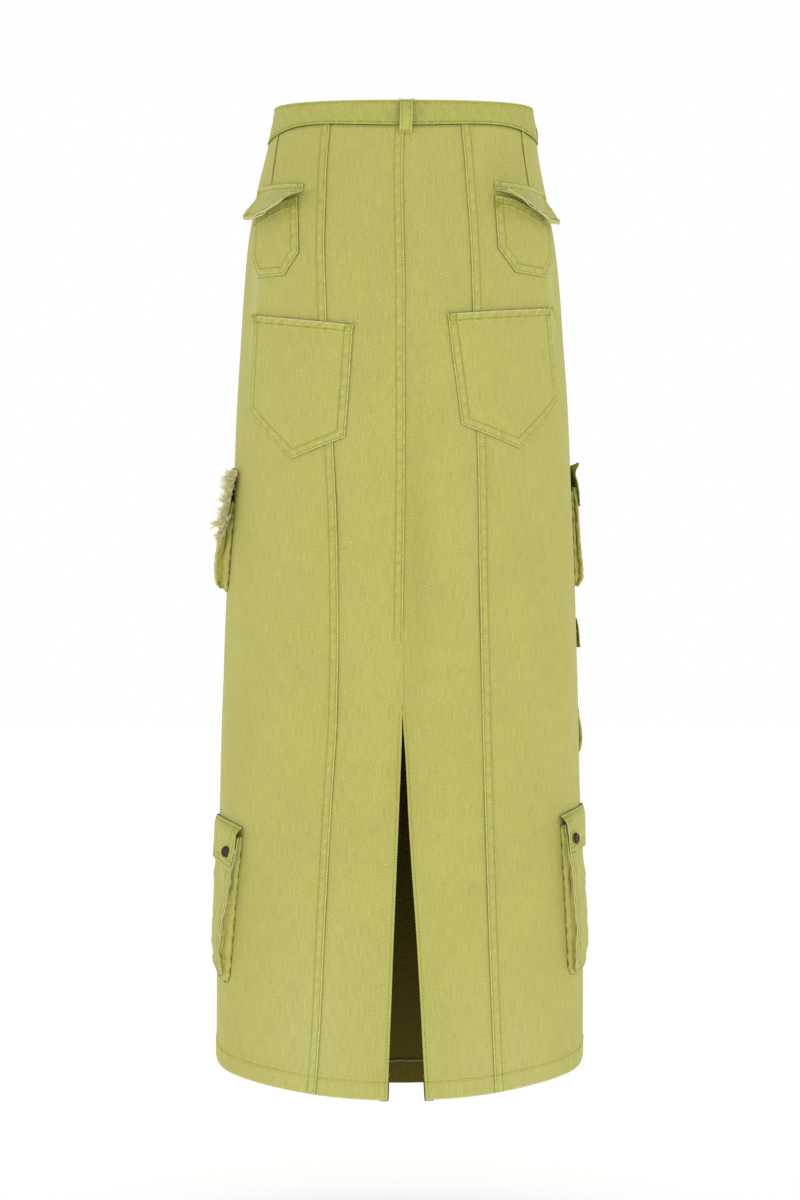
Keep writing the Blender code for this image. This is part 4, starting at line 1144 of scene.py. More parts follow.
def loop_place(middle, seed):
    def place(columns, rows):
        across = (columns[:, 0] - 0.5) * LOOP_WIDTH + columns[:, 1]
        top, foot = waist_top(middle) - LOOP_BELOW_TOP, waist_seam(middle) - LOOP_DROP
        height = top + (foot - top) * rows[:, 0] - rows[:, 1]
        part = np.clip((top - height) / (top - foot), 0, 1)
        rest = np.where(part < 0.75, BAND_OUT + SEAM_GAP, LAY)
        arch = np.sin(math.pi * np.clip((part - 0.02) / 0.96, 0, 1)) ** 0.7
        out = rest + (LOOP_STAND + BAND_OUT - rest) * arch + LOOP_THICK
        edge = LOOP_WIDTH / 2 - np.abs(across)
        relief, wear_and_shading = over_edge(edge, height + 0.03 * np.sign(across), seed, rows=(LOOP_ROW,), strength=0.8)
        around = middle / WAIST_GIRTH * half_girth(height) + across
        return skin(around, height, out + relief), np.stack([across, height], axis=1), wear_and_shading

    return place


LOOP_PARTS = (0, 0.03, 0.07, 0.12, 0.17, 0.23, 0.32, 0.42, 0.5, 0.58, 0.68, 0.77, 0.83, 0.88, 0.93, 0.97, 1)
loop_columns = np.array(spread_lines(LOOP_PARTS, 0.0, 0.0))
side = float(side_seam(0.0))
LOOPS = {"belt_loop_back": 2.6 * MM,
         "belt_loop_side_right": side + 33 * MM, "belt_loop_side_left": -side - 46 * MM,
         "belt_loop_front_right": WAIST_GIRTH - 70 * MM, "belt_loop_front_left": 70 * MM - WAIST_GIRTH}
loop_places = {}
for seed, (name, middle) in enumerate(LOOPS.items()):
    place = loop_places[name] = loop_place(middle, 40 + seed)
    cloth_sheet("cloth_" + name, loop_columns, spaced(0, 1, 30), place, name,
                LOOP_THICK)
    for column in ((0.0, LOOP_ROW), (1.0, -LOOP_ROW)):
        sew("waist", place, column, spaced(0.02, 0.98, 30))
    for row in ((0.05, 0.0), (0.95, 0.0)):
        bartack("tacks", place, (0.5, 0.0), row, True, 9 * MM)
print(len(LOOPS), "belt loops")

# %% [markdown]
# ## Pockets that lie flat
# Two small hip pockets sit under flaps, and two larger patch pockets hang below them. A patch is cut with a
# pointed or clipped foot, its edges are folded under and sewn down with two rows, and its mouth has a hem of
# its own. It is drawn between its mouth and its foot, a little way off the panel. The relief at a point
# depends on how far it is from the outline, so that distance is worked out for every point at once.

# %% Outlines of the flat pockets
Line = namedtuple("Line", "top_around top_height foot_around foot_height")
HIP_POCKETS = {
    "hip_pocket_left": [
        Line(-0.1800, -0.1045, -0.1790, -0.1480), Line(-0.1660, -0.1000, -0.1655, -0.1668),
        Line(-0.1270, -0.0890, -0.1272, -0.1668), Line(-0.1105, -0.0860, -0.1090, -0.1440)],
    "hip_pocket_right": [
        Line(0.0985, -0.0850, 0.1014, -0.1400), Line(0.1190, -0.0870, 0.1221, -0.1640),
        Line(0.1640, -0.1020, 0.1645, -0.1664), Line(0.1850, -0.1115, 0.1832, -0.1440)],
}
PATCH_POCKETS = {
    "patch_pocket_left": [
        Line(-0.1710, -0.2055, -0.1768, -0.3036), Line(-0.1110, -0.2128, -0.1174, -0.3568),
        Line(-0.0497, -0.2202, -0.0584, -0.3354)],
    "patch_pocket_right": [
        Line(0.0461, -0.2091, 0.0604, -0.3224), Line(0.1088, -0.2037, 0.1243, -0.3455),
        Line(0.1715, -0.1983, 0.1827, -0.2945)],
}
PATCH_THICK = 1.4 * MM
PATCH_HEM = 9 * MM
PATCH_HEM_RISE = 0.7 * MM
MOUTH_ROW = PATCH_HEM - 1.6 * MM
LAP_REACH = 26 * MM


def side_panel(name):
    """The back panel that carries a piece, by the side in the piece's name."""
    return "cloth_back_side_left" if "left" in name else "cloth_back_side_right"


def lap_lift(around, height):
    """How far the lapped seam under a pocket lifts it."""
    from_left = abs(around - princess_left(height) + LAP / 2)
    from_right = abs(around - princess_right(height) - LAP / 2)
    return LAP_RISE * smooth_step((LAP_REACH - np.minimum(from_left, from_right)) / (18 * MM))


print(len(HIP_POCKETS | PATCH_POCKETS), "flat pockets")


# %% Distances from an outline
def distance_to(around, height, corners):
    """How far each place is from a run of corners, and how far along the run the nearest place is."""
    nearest, reached, run = np.full(around.shape, 1e9), np.zeros(around.shape), 0.0
    for (x0, y0), (x1, y1) in zip(corners, corners[1:]):
        length = math.dist((x0, y0), (x1, y1))
        along = np.clip(((around - x0) * (x1 - x0) + (height - y0) * (y1 - y0)) / length, 0, length)
        apart = np.hypot(around - x0 - (x1 - x0) * along / length, height - y0 - (y1 - y0) * along / length)
        reached = np.where(apart < nearest, run + along, reached)
        nearest = np.minimum(apart, nearest)
        run += length
    return nearest, reached


def inset(corners, distance):
    """A run of corners moved to its left by a distance, cut or stretched so that its lines still meet."""
    lines = []
    for start, end in zip(corners, corners[1:]):
        way = (np.array(end) - start) / math.dist(start, end)
        shift = np.array([-way[1], way[0]]) * distance
        lines.append((np.array(start) + shift, way))
    points = [lines[0][0]]
    for (start, way), (other, other_way) in zip(lines, lines[1:]):
        apart = other - start
        reach = ((apart[0] * other_way[1] - apart[1] * other_way[0])
                 / (way[0] * other_way[1] - way[1] * other_way[0]))
        points.append(start + way * reach)
    last = np.array(corners[-1]) + np.array([-lines[-1][1][1], lines[-1][1][0]]) * distance
    return [tuple(point) for point in points + [last]]


def along_run(corners, spacing=2 * MM):
    """Close places along a run of corners, as (measure, 0) pairs for around and for height."""
    points = [np.array([corners[0]])]
    for start, end in zip(corners, corners[1:]):
        count = max(1, math.ceil(math.dist(start, end) / spacing))
        points.append(np.linspace(start, end, count + 1)[1:])
    points = np.concatenate(points)
    nothing = np.zeros(len(points))
    return np.stack([points[:, 0], nothing], axis=1), np.stack([points[:, 1], nothing], axis=1)


print("a square corner moved in by 0.1 lies at", *inset([(0, 0), (1, 0), (1, 1)], 0.1)[1])


# %% Draw the flat pockets
def patch_surface(lines, seed, sag):
    """How a flat pocket lies, as a function of around and height."""
    outline = [(line.foot_around, line.foot_height) for line in lines]
    outline = [lines[0][:2]] + outline + [lines[-1][:2]]
    mouth = [tuple(line[:2]) for line in lines]

    def surface(around, height):
        apart, along = distance_to(around, height, outline)
        down, across = distance_to(around, height, mouth)
        relief, wear_and_shading = over_edge(apart, along, seed, strength=1.15)
        hemmed = smooth_step((PATCH_HEM + 0.7 * MM - down) / (0.7 * MM))
        mouth_relief, mouth_wear_and_shade = over_edge(down, across, seed + 3, rows=(MOUTH_ROW,), strength=1.1)
        roping = wobble(across + 0.7 * down, 9 * MM, seed + 6) * hill(down / MM, 4, 3)
        press = -0.7 * MM * hill(apart, 0, 3 * MM)
        belly = sag * smooth_step(apart / (25 * MM)) * smooth_step(down / (30 * MM))
        crease = 0.35 * MM * wobble(around * 0.8 + height * 0.4, 43 * MM, seed + 8)
        crease = crease * smooth_step(apart / (12 * MM))
        lay = LAY + lap_lift(around, height)
        out = lay + PATCH_THICK + hemmed * PATCH_HEM_RISE + relief + press + belly + crease
        out = out + mouth_relief + 0.35 * MM * roping
        wear_and_shading = wear_and_shading + mouth_wear_and_shade + 0.35 * np.maximum(roping, 0) - 0.30 * np.maximum(-roping, 0)
        return skin(around, height, out), np.stack([around, height], axis=1), wear_and_shading

    surface.outline, surface.mouth = outline, mouth
    return surface


def ruled_place(lines, surface):
    """The places of a grid drawn between the mouth and the foot of a pocket."""
    table = np.array(lines)
    reach = np.concatenate([[0], np.cumsum(np.hypot(*np.diff(table[:, :2], axis=0).T))])

    def place(columns, rows):
        across = columns[:, 0] * reach[-1] + columns[:, 1]
        here = Line(*(np.interp(across, reach, table[:, at]) for at in range(4)))
        sideways, down = here.foot_around - here.top_around, here.foot_height - here.top_height
        part = rows[:, 0] + rows[:, 1] / np.hypot(sideways, down)
        return surface(here.top_around + sideways * part, here.top_height + down * part)

    corner_lines = np.stack([reach[1:-1] / reach[-1], np.zeros(len(reach) - 2)], axis=1)
    columns = lines_across(math.ceil(reach[-1] / (3.2 * MM)))
    spots, corner_spots = columns @ (reach[-1], 1.0), corner_lines @ (reach[-1], 1.0)
    clear = np.abs(spots - corner_spots[:, None]).min(axis=0) > 1.5 * MM
    columns = np.concatenate([columns[clear], corner_lines])
    order = np.argsort(columns[:, 0] * reach[-1] + columns[:, 1])
    return place, columns[order]


def measures_place(surface):
    """A way to sew on a sheet that is drawn from its two measures."""
    return lambda columns, rows: surface(columns.sum(axis=1), rows.sum(axis=1))


PATCH_TOP = [0, 0.4, 0.8, 1.3, 1.9, 2.6, 3.6, 4.8, 6.0, 6.8, 7.4, 8.0, 8.7, 9.2, 9.8, 10.6, 12]
patch_rows = np.array(past_start(PATCH_TOP) + spread_lines(np.linspace(0.02, 1, 30), 13 * MM, EDGE_REACH)
                      + END_LINES)
for seed, (name, lines) in enumerate((HIP_POCKETS | PATCH_POCKETS).items()):
    surface = patch_surface(lines, 50 + 3 * seed, 0.4 * MM if "hip" in name else 1.0 * MM)
    place, columns = ruled_place(lines, surface)
    cloth_sheet("cloth_" + name, columns, patch_rows, place, name)
    sewing = measures_place(surface)
    for distance in (ROW_NEAR, ROW_FAR):
        sew("pockets", sewing, *along_run(inset(surface.outline, distance)))
    if "patch" in name:
        sew("pockets", sewing, *along_run(inset(surface.mouth[::-1], MOUTH_ROW)))
        for (around, height), inward in ((surface.mouth[0], 2.2 * MM), (surface.mouth[-1], -2.2 * MM)):
            bartack("tacks", sewing, (around + inward, 0.0), (height - 3.5 * MM, 0.0), False, 6 * MM)
    print(name, "cut", *made_sheets["cloth_" + name])

# %% [markdown]
# ## Hip pocket flaps
# Each flap is two layers of cloth, turned and topstitched, sewn to the skirt along its upper edge. It is
# stiff, so it doesn't lie flat: it stands out from the hip, more at its inner end, and its open lower edge
# shows both layers. Each place on it is found by walking down from the seam while the direction bends
# outwards, and the under layer is the same sheet drawn a little lower.

# %% Standing flaps
Hang = namedtuple("Hang", "around height lift end_lean")
HIP_FLAPS = {
    "hip_flap_left": [
        Hang(-0.1750, -0.0734, 29, -0.004), Hang(-0.1620, -0.0712, 20, 0.000), Hang(-0.1420, -0.0708, 29, 0.000),
        Hang(-0.1160, -0.0716, 53, 0.000), Hang(-0.1040, -0.0722, 74, 0.000)],
    "hip_flap_right": [
        Hang(0.0993, -0.0708, 76, 0.000), Hang(0.1240, -0.0712, 48, 0.000), Hang(0.1480, -0.0730, 29, 0.000),
        Hang(0.1620, -0.0748, 20, 0.000), Hang(0.1770, -0.0780, 27, 0.004)],
}
FLAP_LENGTH = 39.5 * MM
FLAP_THICK = 1.8 * MM
FLAP_FLAT = 5 * MM         # the strip at its top that lies on the skirt, down to its row of stitches
FLAP_BEND = 7 * MM
FLAP_STRIDES = 24
FLAP_ROW = 5.5 * MM
FLAP_LAYER = 0.75 * MM
UNDER_THICK, UNDER_LONGER = 0.7 * MM, 1.5 * MM


def flap_place(hangs, seed, thick, longer):
    """A hip flap, its face or its under layer: thick is how far it is above the flap's underside."""
    table = np.array(hangs)
    knots = table[:, 0] - table[0, 0]
    width = knots[-1]

    def place(columns, rows):
        across = np.clip(columns[:, 0] * width + columns[:, 1], 0, width)
        length = FLAP_LENGTH + longer - 4 * MM * hill(np.minimum(across, width - across), 0, 3.5 * MM)
        along = rows[:, 0] * length + rows[:, 1]
        around, height, lift, lean = (np.interp(across, knots, table[:, at]) for at in range(4))
        start = skin(around, height, LAY)
        normal = unit(skin(around, height, LAY + 5 * MM) - start)
        down = unit(skin(around, height - 8 * MM, LAY) - start)
        beside = unit(skin(around + 5 * MM, height, LAY) - start)

        def slope(travelled):
            return np.radians(lift * np.clip((travelled - FLAP_FLAT) / FLAP_BEND, 0, 1))[:, None]

        spot = start + beside * (lean * along / FLAP_LENGTH)[:, None]
        stride = (along / FLAP_STRIDES)[:, None]
        for step in range(FLAP_STRIDES):
            angle = slope(along * (step + 0.5) / FLAP_STRIDES)
            spot = spot + (down * np.cos(angle) + normal * np.sin(angle)) * stride
        angle = slope(along)
        edge = np.minimum(across, width - across)
        foot = length - along
        end_relief, end_wear_and_shade = over_edge(edge, along, seed, rows=(FLAP_ROW,), strength=1.3, rim=0.2)
        foot_relief, foot_tone = over_edge(foot, across, seed + 2, rows=(FLAP_ROW,), strength=1.5, rim=0.0)
        top_relief, top_wear_and_shade = over_edge(along, across, seed + 4, rows=(FLAP_FLAT,), strength=0.8)
        dent = 0.5 * MM * wobble(across + along, 33 * MM, seed + 5) * smooth_step(along / (14 * MM))
        rise = thick + end_relief + foot_relief + top_relief + dent
        points = spot + (normal * np.cos(angle) - down * np.sin(angle)) * rise[:, None]
        return points, np.stack([across, -along], axis=1), end_wear_and_shade + foot_tone + top_wear_and_shade + 0.2

    return place, width


flap_rows = np.array(past_start([0, 0.4, 0.8, 1.4, 2.2, 3.2, 4.2, 5.0, 5.8, 6.8, 8, 9.5, 11, 12.5, 14])
                     + spread_lines(np.linspace(0.05, 1, 8), 15 * MM, 8 * MM)
                     + before_end([6.6, 6.0, 5.5, 5.0, 4.2, 3.2, 2.4, 1.8, 1.2, 0.7, 0.35, 0]))
for seed, (name, hangs) in enumerate(HIP_FLAPS.items()):
    place, width = flap_place(hangs, 70 + 4 * seed, FLAP_THICK, 0.0)
    under, _ = flap_place(hangs, 71 + 4 * seed, UNDER_THICK, UNDER_LONGER)
    columns = lines_across(26)
    face = cloth_sheet("cloth_" + name, columns, flap_rows, place, name,
                       FLAP_LAYER, lined=True)
    cloth_sheet("cloth_under_" + name, columns, flap_rows, under, name, FLAP_LAYER,
                lined=True)
    for column in ((0.0, FLAP_ROW), (1.0, -FLAP_ROW)):
        sew("pockets", place, column, measured(FLAP_FLAT, FLAP_LENGTH - 6 * MM, 22))
    sew("pockets", place, measured(FLAP_ROW, width - FLAP_ROW, 40), (1.0, -FLAP_ROW))
    sew("pockets", place, measured(0.5 * MM, width - 0.5 * MM, 40), (0.0, FLAP_FLAT))
    for column in ((0.0, 1.6 * MM), (1.0, -1.6 * MM)):
        bartack("tacks", place, column, (0.0, 4 * MM), False, 6 * MM)
print("hip flaps stand out from the skirt")

# %% [markdown]
# ## Bellows pockets
# The cargo pockets at the sides aren't flat. Each has a face, a pleated strip that joins the face to the
# skirt and lets the pocket swell, and a flap over the mouth. Seen from behind, their edges and their depth
# show more than their faces do, so the strip gets its pleats, the face its wrinkles, and the flap its droop.

# %% Sizes of the bellows pockets
# How a pocket swells, at a share of its height above its foot: how far its edge and its middle stand off the
# skirt, how far its edge slips towards its middle, and how far it is pulled up. All are in millimetres.
Swell = namedtuple("Swell", "height edge middle slip rise", defaults=[0.0, 0.0])


def swell(*rows):
    table = [Swell(row[0], *(part * MM for part in row[1:])) for row in rows]
    return {column: Curve(table, column) for column in ("edge", "middle", "slip", "rise")}


Cargo = namedtuple("Cargo", "side back_edge lean mouth depth width arch swell")
CARGO = {
    "mid_cargo_left": Cargo(-1, 0.208, 0.14, -0.3985, 0.097, 0.128, 0.004, swell(
        (1.0, 3.0, 6.0), (0.90, 3.6, 6.5), (0.80, 6.0, 7.0), (0.69, 9.0, 8.0), (0.53, 13.4, 9.0),
        (0.37, 15.5, 9.5, 1.0), (0.12, 13.5, 8.0, 0.5, 2.0), (0.0, 8.0, 6.0, 2.0, 5.0))),
    "mid_cargo_right": Cargo(1, 0.240, 0.03, -0.3830, 0.105, 0.128, 0.004, swell(
        (1.0, 3.4, 3.4), (0.8, 5.8, 5.0), (0.56, 6.1, 5.5), (0.32, 7.2, 6.0), (0.10, 8.4, 6.5),
        (0.0, 4.0, 4.0))),
    "thigh_cargo_right": Cargo(1, 0.263, 0.03, -0.5320, 0.132, 0.120, 0.000, swell(
        (1.0, 1.0, 1.0), (0.79, 0.4, 0.6), (0.50, 0.4, 0.6), (0.32, 2.2, 2.0), (0.165, 4.8, 3.6),
        (0.045, 4.2, 3.0), (0.0, 1.5, 1.5))),
    "low_cargo_left": Cargo(-1, 0.175, 0.14, -0.7470, 0.157, 0.134, 0.010, swell(
        (1.0, 6.5, 0.6), (0.90, 8.5, 0.6), (0.765, 12.0, 1.4), (0.57, 14.0, 3.0, 1.5),
        (0.315, 15.5, 3.8, 4.0), (0.23, 16.0, 3.8, 6.0, 3.0), (0.15, 14.0, 3.6, 4.0, 7.0),
        (0.0, 9.0, 2.6, 2.0, 12.0))),
    "low_cargo_right": Cargo(1, 0.180, 0.08, -0.7350, 0.160, 0.134, 0.009, swell(
        (1.0, 6.5, 0.1), (0.88, 9.0, 0.2), (0.72, 13.0, 0.5), (0.60, 13.8, 1.4), (0.45, 14.0, 3.0, 0.5),
        (0.17, 13.0, 4.0, 1.0, 1.0), (0.0, 8.0, 1.5, 1.0, 5.0))),
}
# A flap's size, how far its ends and its middle stand off, and how far its upper back corner curls out.
Cover = namedtuple("Cover", "above length back_overhang front_overhang end_out middle_out tip",
                   defaults=[0.0])
COVERS = {
    "mid_cargo_left": Cover(0.033, 0.076, 0.002, 0.003, 0.0125, 0.0115),
    "mid_cargo_right": Cover(0.022, 0.042, 0.002, 0.003, 0.0072, 0.0072, 7 * MM),
    "thigh_cargo_right": Cover(0.012, 0.032, 0.002, 0.003, 0.0042, 0.0042),
    "low_cargo_left": Cover(0.010, 0.045, 0.000, 0.002, 0.0110, 0.0040),
    "low_cargo_right": Cover(0.010, 0.043, 0.001, 0.002, 0.0120, 0.0028),
}
CARGO_FACE = 1.3 * MM
CARGO_CORNER = 14 * MM
CARGO_HEM = 12 * MM
FACE_ROWS = (ROW_NEAR, 7.5 * MM)
COVER_THICK = 1.6 * MM
COVER_CLEAR = 1 * MM
COVER_ROWS = (3 * MM, 8.5 * MM)
COVER_TOP_ROW = 2.5 * MM
print(len(CARGO), "bellows pockets, each with a flap")


# %% Places on a bellows pocket
def on_pocket(cargo, across, down):
    """Where a place on a pocket lies on the cloth: across from its back edge, and down from its mouth."""
    off_middle = 2 * across / cargo.width - 1
    around = cargo.back_edge + across + cargo.lean * down * (1 - across / cargo.width)
    return cargo.side * around, cargo.mouth - down + cargo.arch * (1 - off_middle * off_middle)


def stand_off(cargo, across, down):
    """How far a pocket's face stands off the skirt."""
    above = 1 - down / cargo.depth
    off_middle = 2 * across / cargo.width - 1
    edge, middle = cargo.swell["edge"](above), cargo.swell["middle"](above)
    return middle + (edge - middle) * off_middle * off_middle


def corner_rise(cargo, across):
    """How far the rounded foot of a pocket rises above its lowest line."""
    edge = np.clip(np.minimum(across, cargo.width - across), 0, CARGO_CORNER)
    return CARGO_CORNER - np.sqrt(CARGO_CORNER ** 2 - (CARGO_CORNER - edge) ** 2)


def meander(cargo, across, down, seed, share=1.0):
    """Worn pockets have no straight edge: every place slips and drifts a little, as far as share says."""
    above = 1 - down / cargo.depth
    slip = cargo.swell["slip"](above) * (hill(across, 0, 25 * MM) - hill(across, cargo.width, 25 * MM))
    drift_across = 1.3 * MM * wobble(down, 52 * MM, seed) + 0.35 * MM * wobble(down, 15 * MM, seed + 1)
    drift_down = 1.2 * MM * wobble(across, 47 * MM, seed + 2)
    return across + share * (drift_across + slip), down + share * (drift_down - cargo.swell["rise"](above))


def pocket_outline(cargo, turn):
    """Down a pocket's back, round its foot and up its front, with a corner every so many degrees."""
    outline = [(0.0, 0.0), (0.0, cargo.depth - CARGO_CORNER)]
    outline += [(CARGO_CORNER * (1 - math.cos(angle)), cargo.depth - CARGO_CORNER * (1 - math.sin(angle)))
                for angle in np.radians(np.arange(turn, 91, turn))]
    return outline + [(cargo.width - across, down) for across, down in outline[::-1]]


swelled = stand_off(CARGO["low_cargo_left"], 0.0, 0.1)
print("the low left pocket stands off the skirt by", round(float(swelled) / MM, 1), "mm")


# %% The face
def face_surface(cargo, seed):
    outline = pocket_outline(cargo, 22.5)

    def surface(across, down):
        apart, along = distance_to(across, down, outline)
        relief, wear_and_shading = over_edge(apart, along, seed, rows=FACE_ROWS, strength=1.6, rim=0.6)
        mouth, mouth_wear_and_shade = over_edge(down, across, seed + 3, rows=(CARGO_HEM - 2 * MM,))
        hemmed = smooth_step((CARGO_HEM + 0.7 * MM - down) / (0.7 * MM))
        inner = smooth_step(apart / (14 * MM))
        wrinkle = 0.9 * MM * wobble(down + 0.5 * across, 34 * MM, seed + 5) * inner
        wrinkle = wrinkle + 0.6 * MM * wobble(down * 0.4 - across, 27 * MM, seed + 6) * inner
        tug = 0.4 * MM * wobble(along, 19 * MM, seed + 7) * hill(apart / MM, 6, 5)
        out = stand_off(cargo, across, down) + CARGO_FACE + hemmed * PATCH_HEM_RISE
        out = out + relief + mouth + wrinkle + tug
        moved = meander(cargo, across, down, seed)
        return skin(*on_pocket(cargo, *moved), out), np.stack([across, -down], axis=1), wear_and_shading + mouth_wear_and_shade

    surface.outline = outline
    return surface


def face_place(cargo, surface):
    def place(columns, rows):
        across = np.clip(columns[:, 0] * cargo.width + columns[:, 1], 0, cargo.width)
        length = cargo.depth - corner_rise(cargo, across)
        return surface(across, np.clip(length * rows[:, 0] + rows[:, 1], 0, cargo.depth))

    return place


print("a face's rows of stitches are", *(row / MM for row in FACE_ROWS), "mm in from its edge")


# %% The pleated strip
def strip_path(cargo):
    """Close places along the outline of a pocket, and the way to its inside at each."""
    points = np.concatenate(along_run(pocket_outline(cargo, 15), 3 * MM), axis=1)[:, [0, 2]]
    way = np.gradient(points, axis=0)
    way = way / np.linalg.norm(way, axis=1, keepdims=True)
    return points, np.stack([way[:, 1], -way[:, 0]], axis=1)


def strip_place(cargo, seed, face_seed, pleat_depth):
    """Rows go from the skirt (0) to the face (1). The strip folds inwards once and rolls at both edges."""
    points, inward = strip_path(cargo)
    steps = np.linspace(0, 1, len(points))
    lengths = np.concatenate([[0], np.cumsum(np.linalg.norm(np.diff(points, axis=0), axis=1))])

    def place(columns, rows):
        at = columns[:, 0] + columns[:, 1] / lengths[-1]
        part = np.clip(rows[:, 0], 0, 1)
        spot = np.stack([np.interp(at, steps, points[:, axis]) for axis in (0, 1)], axis=1)
        aim = np.stack([np.interp(at, steps, inward[:, axis]) for axis in (0, 1)], axis=1)
        along = np.interp(at, steps, lengths)
        room = stand_off(cargo, np.clip(spot[:, 0], 0, cargo.width), spot[:, 1]) + CARGO_FACE * 0.7
        depth = pleat_depth * np.minimum(1, room / (9 * MM)) * (0.8 + 0.3 * wobble(along, 37 * MM, seed))
        pleat = depth * np.sin(math.pi * part) ** 2 * (0.65 + 0.35 * np.cos(3 * math.pi * (part - 0.5)))
        bulge = -0.6 * MM * np.sin(math.pi * part) * wobble(along, 21 * MM, seed + 1)
        fold = 0.60 + 0.16 * wobble(along, 70 * MM, seed + 5)
        creased = hill(part, fold, 0.045) * smooth_step(0.5 + wobble(along, 48 * MM, seed + 6))
        crumple = 2.2 * MM * creased * np.minimum(1, room / (9 * MM))
        pucker = 0.7 * MM * wobble(along, 11 * MM, seed + 3) * hill(part, 0.08, 0.1)
        bead = -1.3 * MM * hill((1 - part) * room, 0, 1.4 * MM)
        spot = spot + aim * (pleat + bulge + pucker + bead + crumple)[:, None]
        spot = np.stack(meander(cargo, spot[:, 0], spot[:, 1], face_seed, part), axis=1)
        ripple = 0.7 * MM * wobble(along + 9 * MM * part, 16 * MM, seed + 2) * np.sin(math.pi * part)
        crest = hill(part, 0.24, 0.08) + hill(part, 0.72, 0.08)
        dashes = 0.6 + 0.4 * wobble(along, 11 * MM, seed + 3)
        # Rubbed pale crests, and darker in the middle of the pleat.
        wear_and_shading = 0.45 * crest * (0.6 + 0.4 * wobble(along, 13 * MM, seed + 4)) - 0.4 * hill(part, 0.5, 0.12)
        from_face, from_skirt = (1 - part) * room / MM, part * room / MM
        # Rubbed rolled edge; painted shade in dashed lines beside it and along the base, and in the creases.
        wear_and_shading = wear_and_shading + 1.1 * hill(from_face, 0, 1.5) - 1.6 * dashes * hill(from_face, 3.4, 0.9)
        wear_and_shading = wear_and_shading - 2.6 * dashes * hill(from_skirt, 0, 1.3) - 1.5 * creased
        on_skin = skin(*on_pocket(cargo, spot[:, 0], spot[:, 1]), room * part + ripple)
        return on_skin, np.stack([along, part * room], axis=1), wear_and_shading

    return place, len(points)


print("places along each strip:", *(len(strip_path(cargo)[0]) for cargo in CARGO.values()))


# %% The flap over the mouth
def cover_out(cargo, cover, across, along):
    """How far the inner side of a flap stands off the skirt, at a distance along it from its top edge."""
    off_middle = np.clip(2 * across / cargo.width - 1, -1, 1)
    end = cover.middle_out + (cover.end_out - cover.middle_out) * off_middle * off_middle
    mouth = stand_off(cargo, np.clip(across, 0, cargo.width), 0) + CARGO_FACE + PATCH_HEM_RISE + COVER_CLEAR
    above = LAY + (mouth - LAY) * np.sin(math.pi / 2 * np.clip(along / cover.above, 0, 1))
    part = (along - cover.above) / (cover.length - cover.above)
    return np.where(along <= cover.above, above, mouth + (end - mouth) * part)


def cover_place(cargo, cover, seed, fringed):
    start, width = -cover.back_overhang, cargo.width + cover.back_overhang + cover.front_overhang

    def place(columns, rows):
        across = start + columns[:, 0] * width + columns[:, 1]
        along = rows[:, 0] * cover.length + rows[:, 1]
        back, front = across - start, start + width - across
        foot = cover.length - along
        end_relief, end_wear_and_shade = over_edge(np.minimum(back, front), along, seed, rows=COVER_ROWS, strength=0.9)
        foot_relief, foot_tone = over_edge(foot, across, seed + 1, rows=COVER_ROWS, strength=0.9)
        top_relief, top_wear_and_shade = over_edge(along, across, seed + 2, rows=(COVER_TOP_ROW,), strength=0.9)
        droop = 0.8 * MM * wobble(across + 0.6 * along, 36 * MM, seed + 3) * smooth_step(along / (14 * MM))
        if fringed:
            raw = hill(back, 0, 2 * MM)
            end_relief, end_wear_and_shade = end_relief * (1 - raw), end_wear_and_shade * (1 - raw) + 1.1 * raw
        curl = cover.tip * hill(along, 0, 5 * MM) * hill(back, 0, 9 * MM)
        out = cover_out(cargo, cover, across, along) + COVER_THICK + end_relief + foot_relief + top_relief
        out = out + droop + curl
        measures = on_pocket(cargo, across, along - cover.above - 0.6 * curl)
        return skin(*measures, out), np.stack([across, -along], axis=1), end_wear_and_shade + foot_tone + top_wear_and_shade

    return place


print("the flaps' lengths in metres:", *(cover.length for cover in COVERS.values()))

# %% Make the five bellows pockets
FACE_LAYER, STRIP_LAYER, COVER_LAYER = 1.1 * MM, 0.9 * MM, 1.4 * MM
PLEAT_DEPTH = 3.2 * MM
TACK_IN = 3.5 * MM
STRIP_PARTS = (1, 0.97, 0.93, 0.88, 0.83, 0.78, 0.72, 0.66, 0.6, 0.55, 0.5, 0.45, 0.4, 0.34, 0.28, 0.22,
               0.16, 0.1, 0.05, 0)
cargo_rows = np.array(past_start([0, 0.4, 0.8, 1.4, 2.2, 3.4, 5, 7, 8.6, 9.4, 10, 10.6, 11.4, 12.2, 13, 14.5])
                      + spread_lines(np.linspace(0.03, 1, 28), 15 * MM, EDGE_REACH) + END_LINES)
cover_rows = np.array(past_start([0, 0.4, 0.8, 1.3, 1.9, 2.5, 3.1, 4, 5.5])
                      + spread_lines(np.linspace(0.02, 1, 14), 6.5 * MM, EDGE_REACH) + END_LINES)
strip_rows = np.array(spread_lines(STRIP_PARTS, 0.0, 0.0))
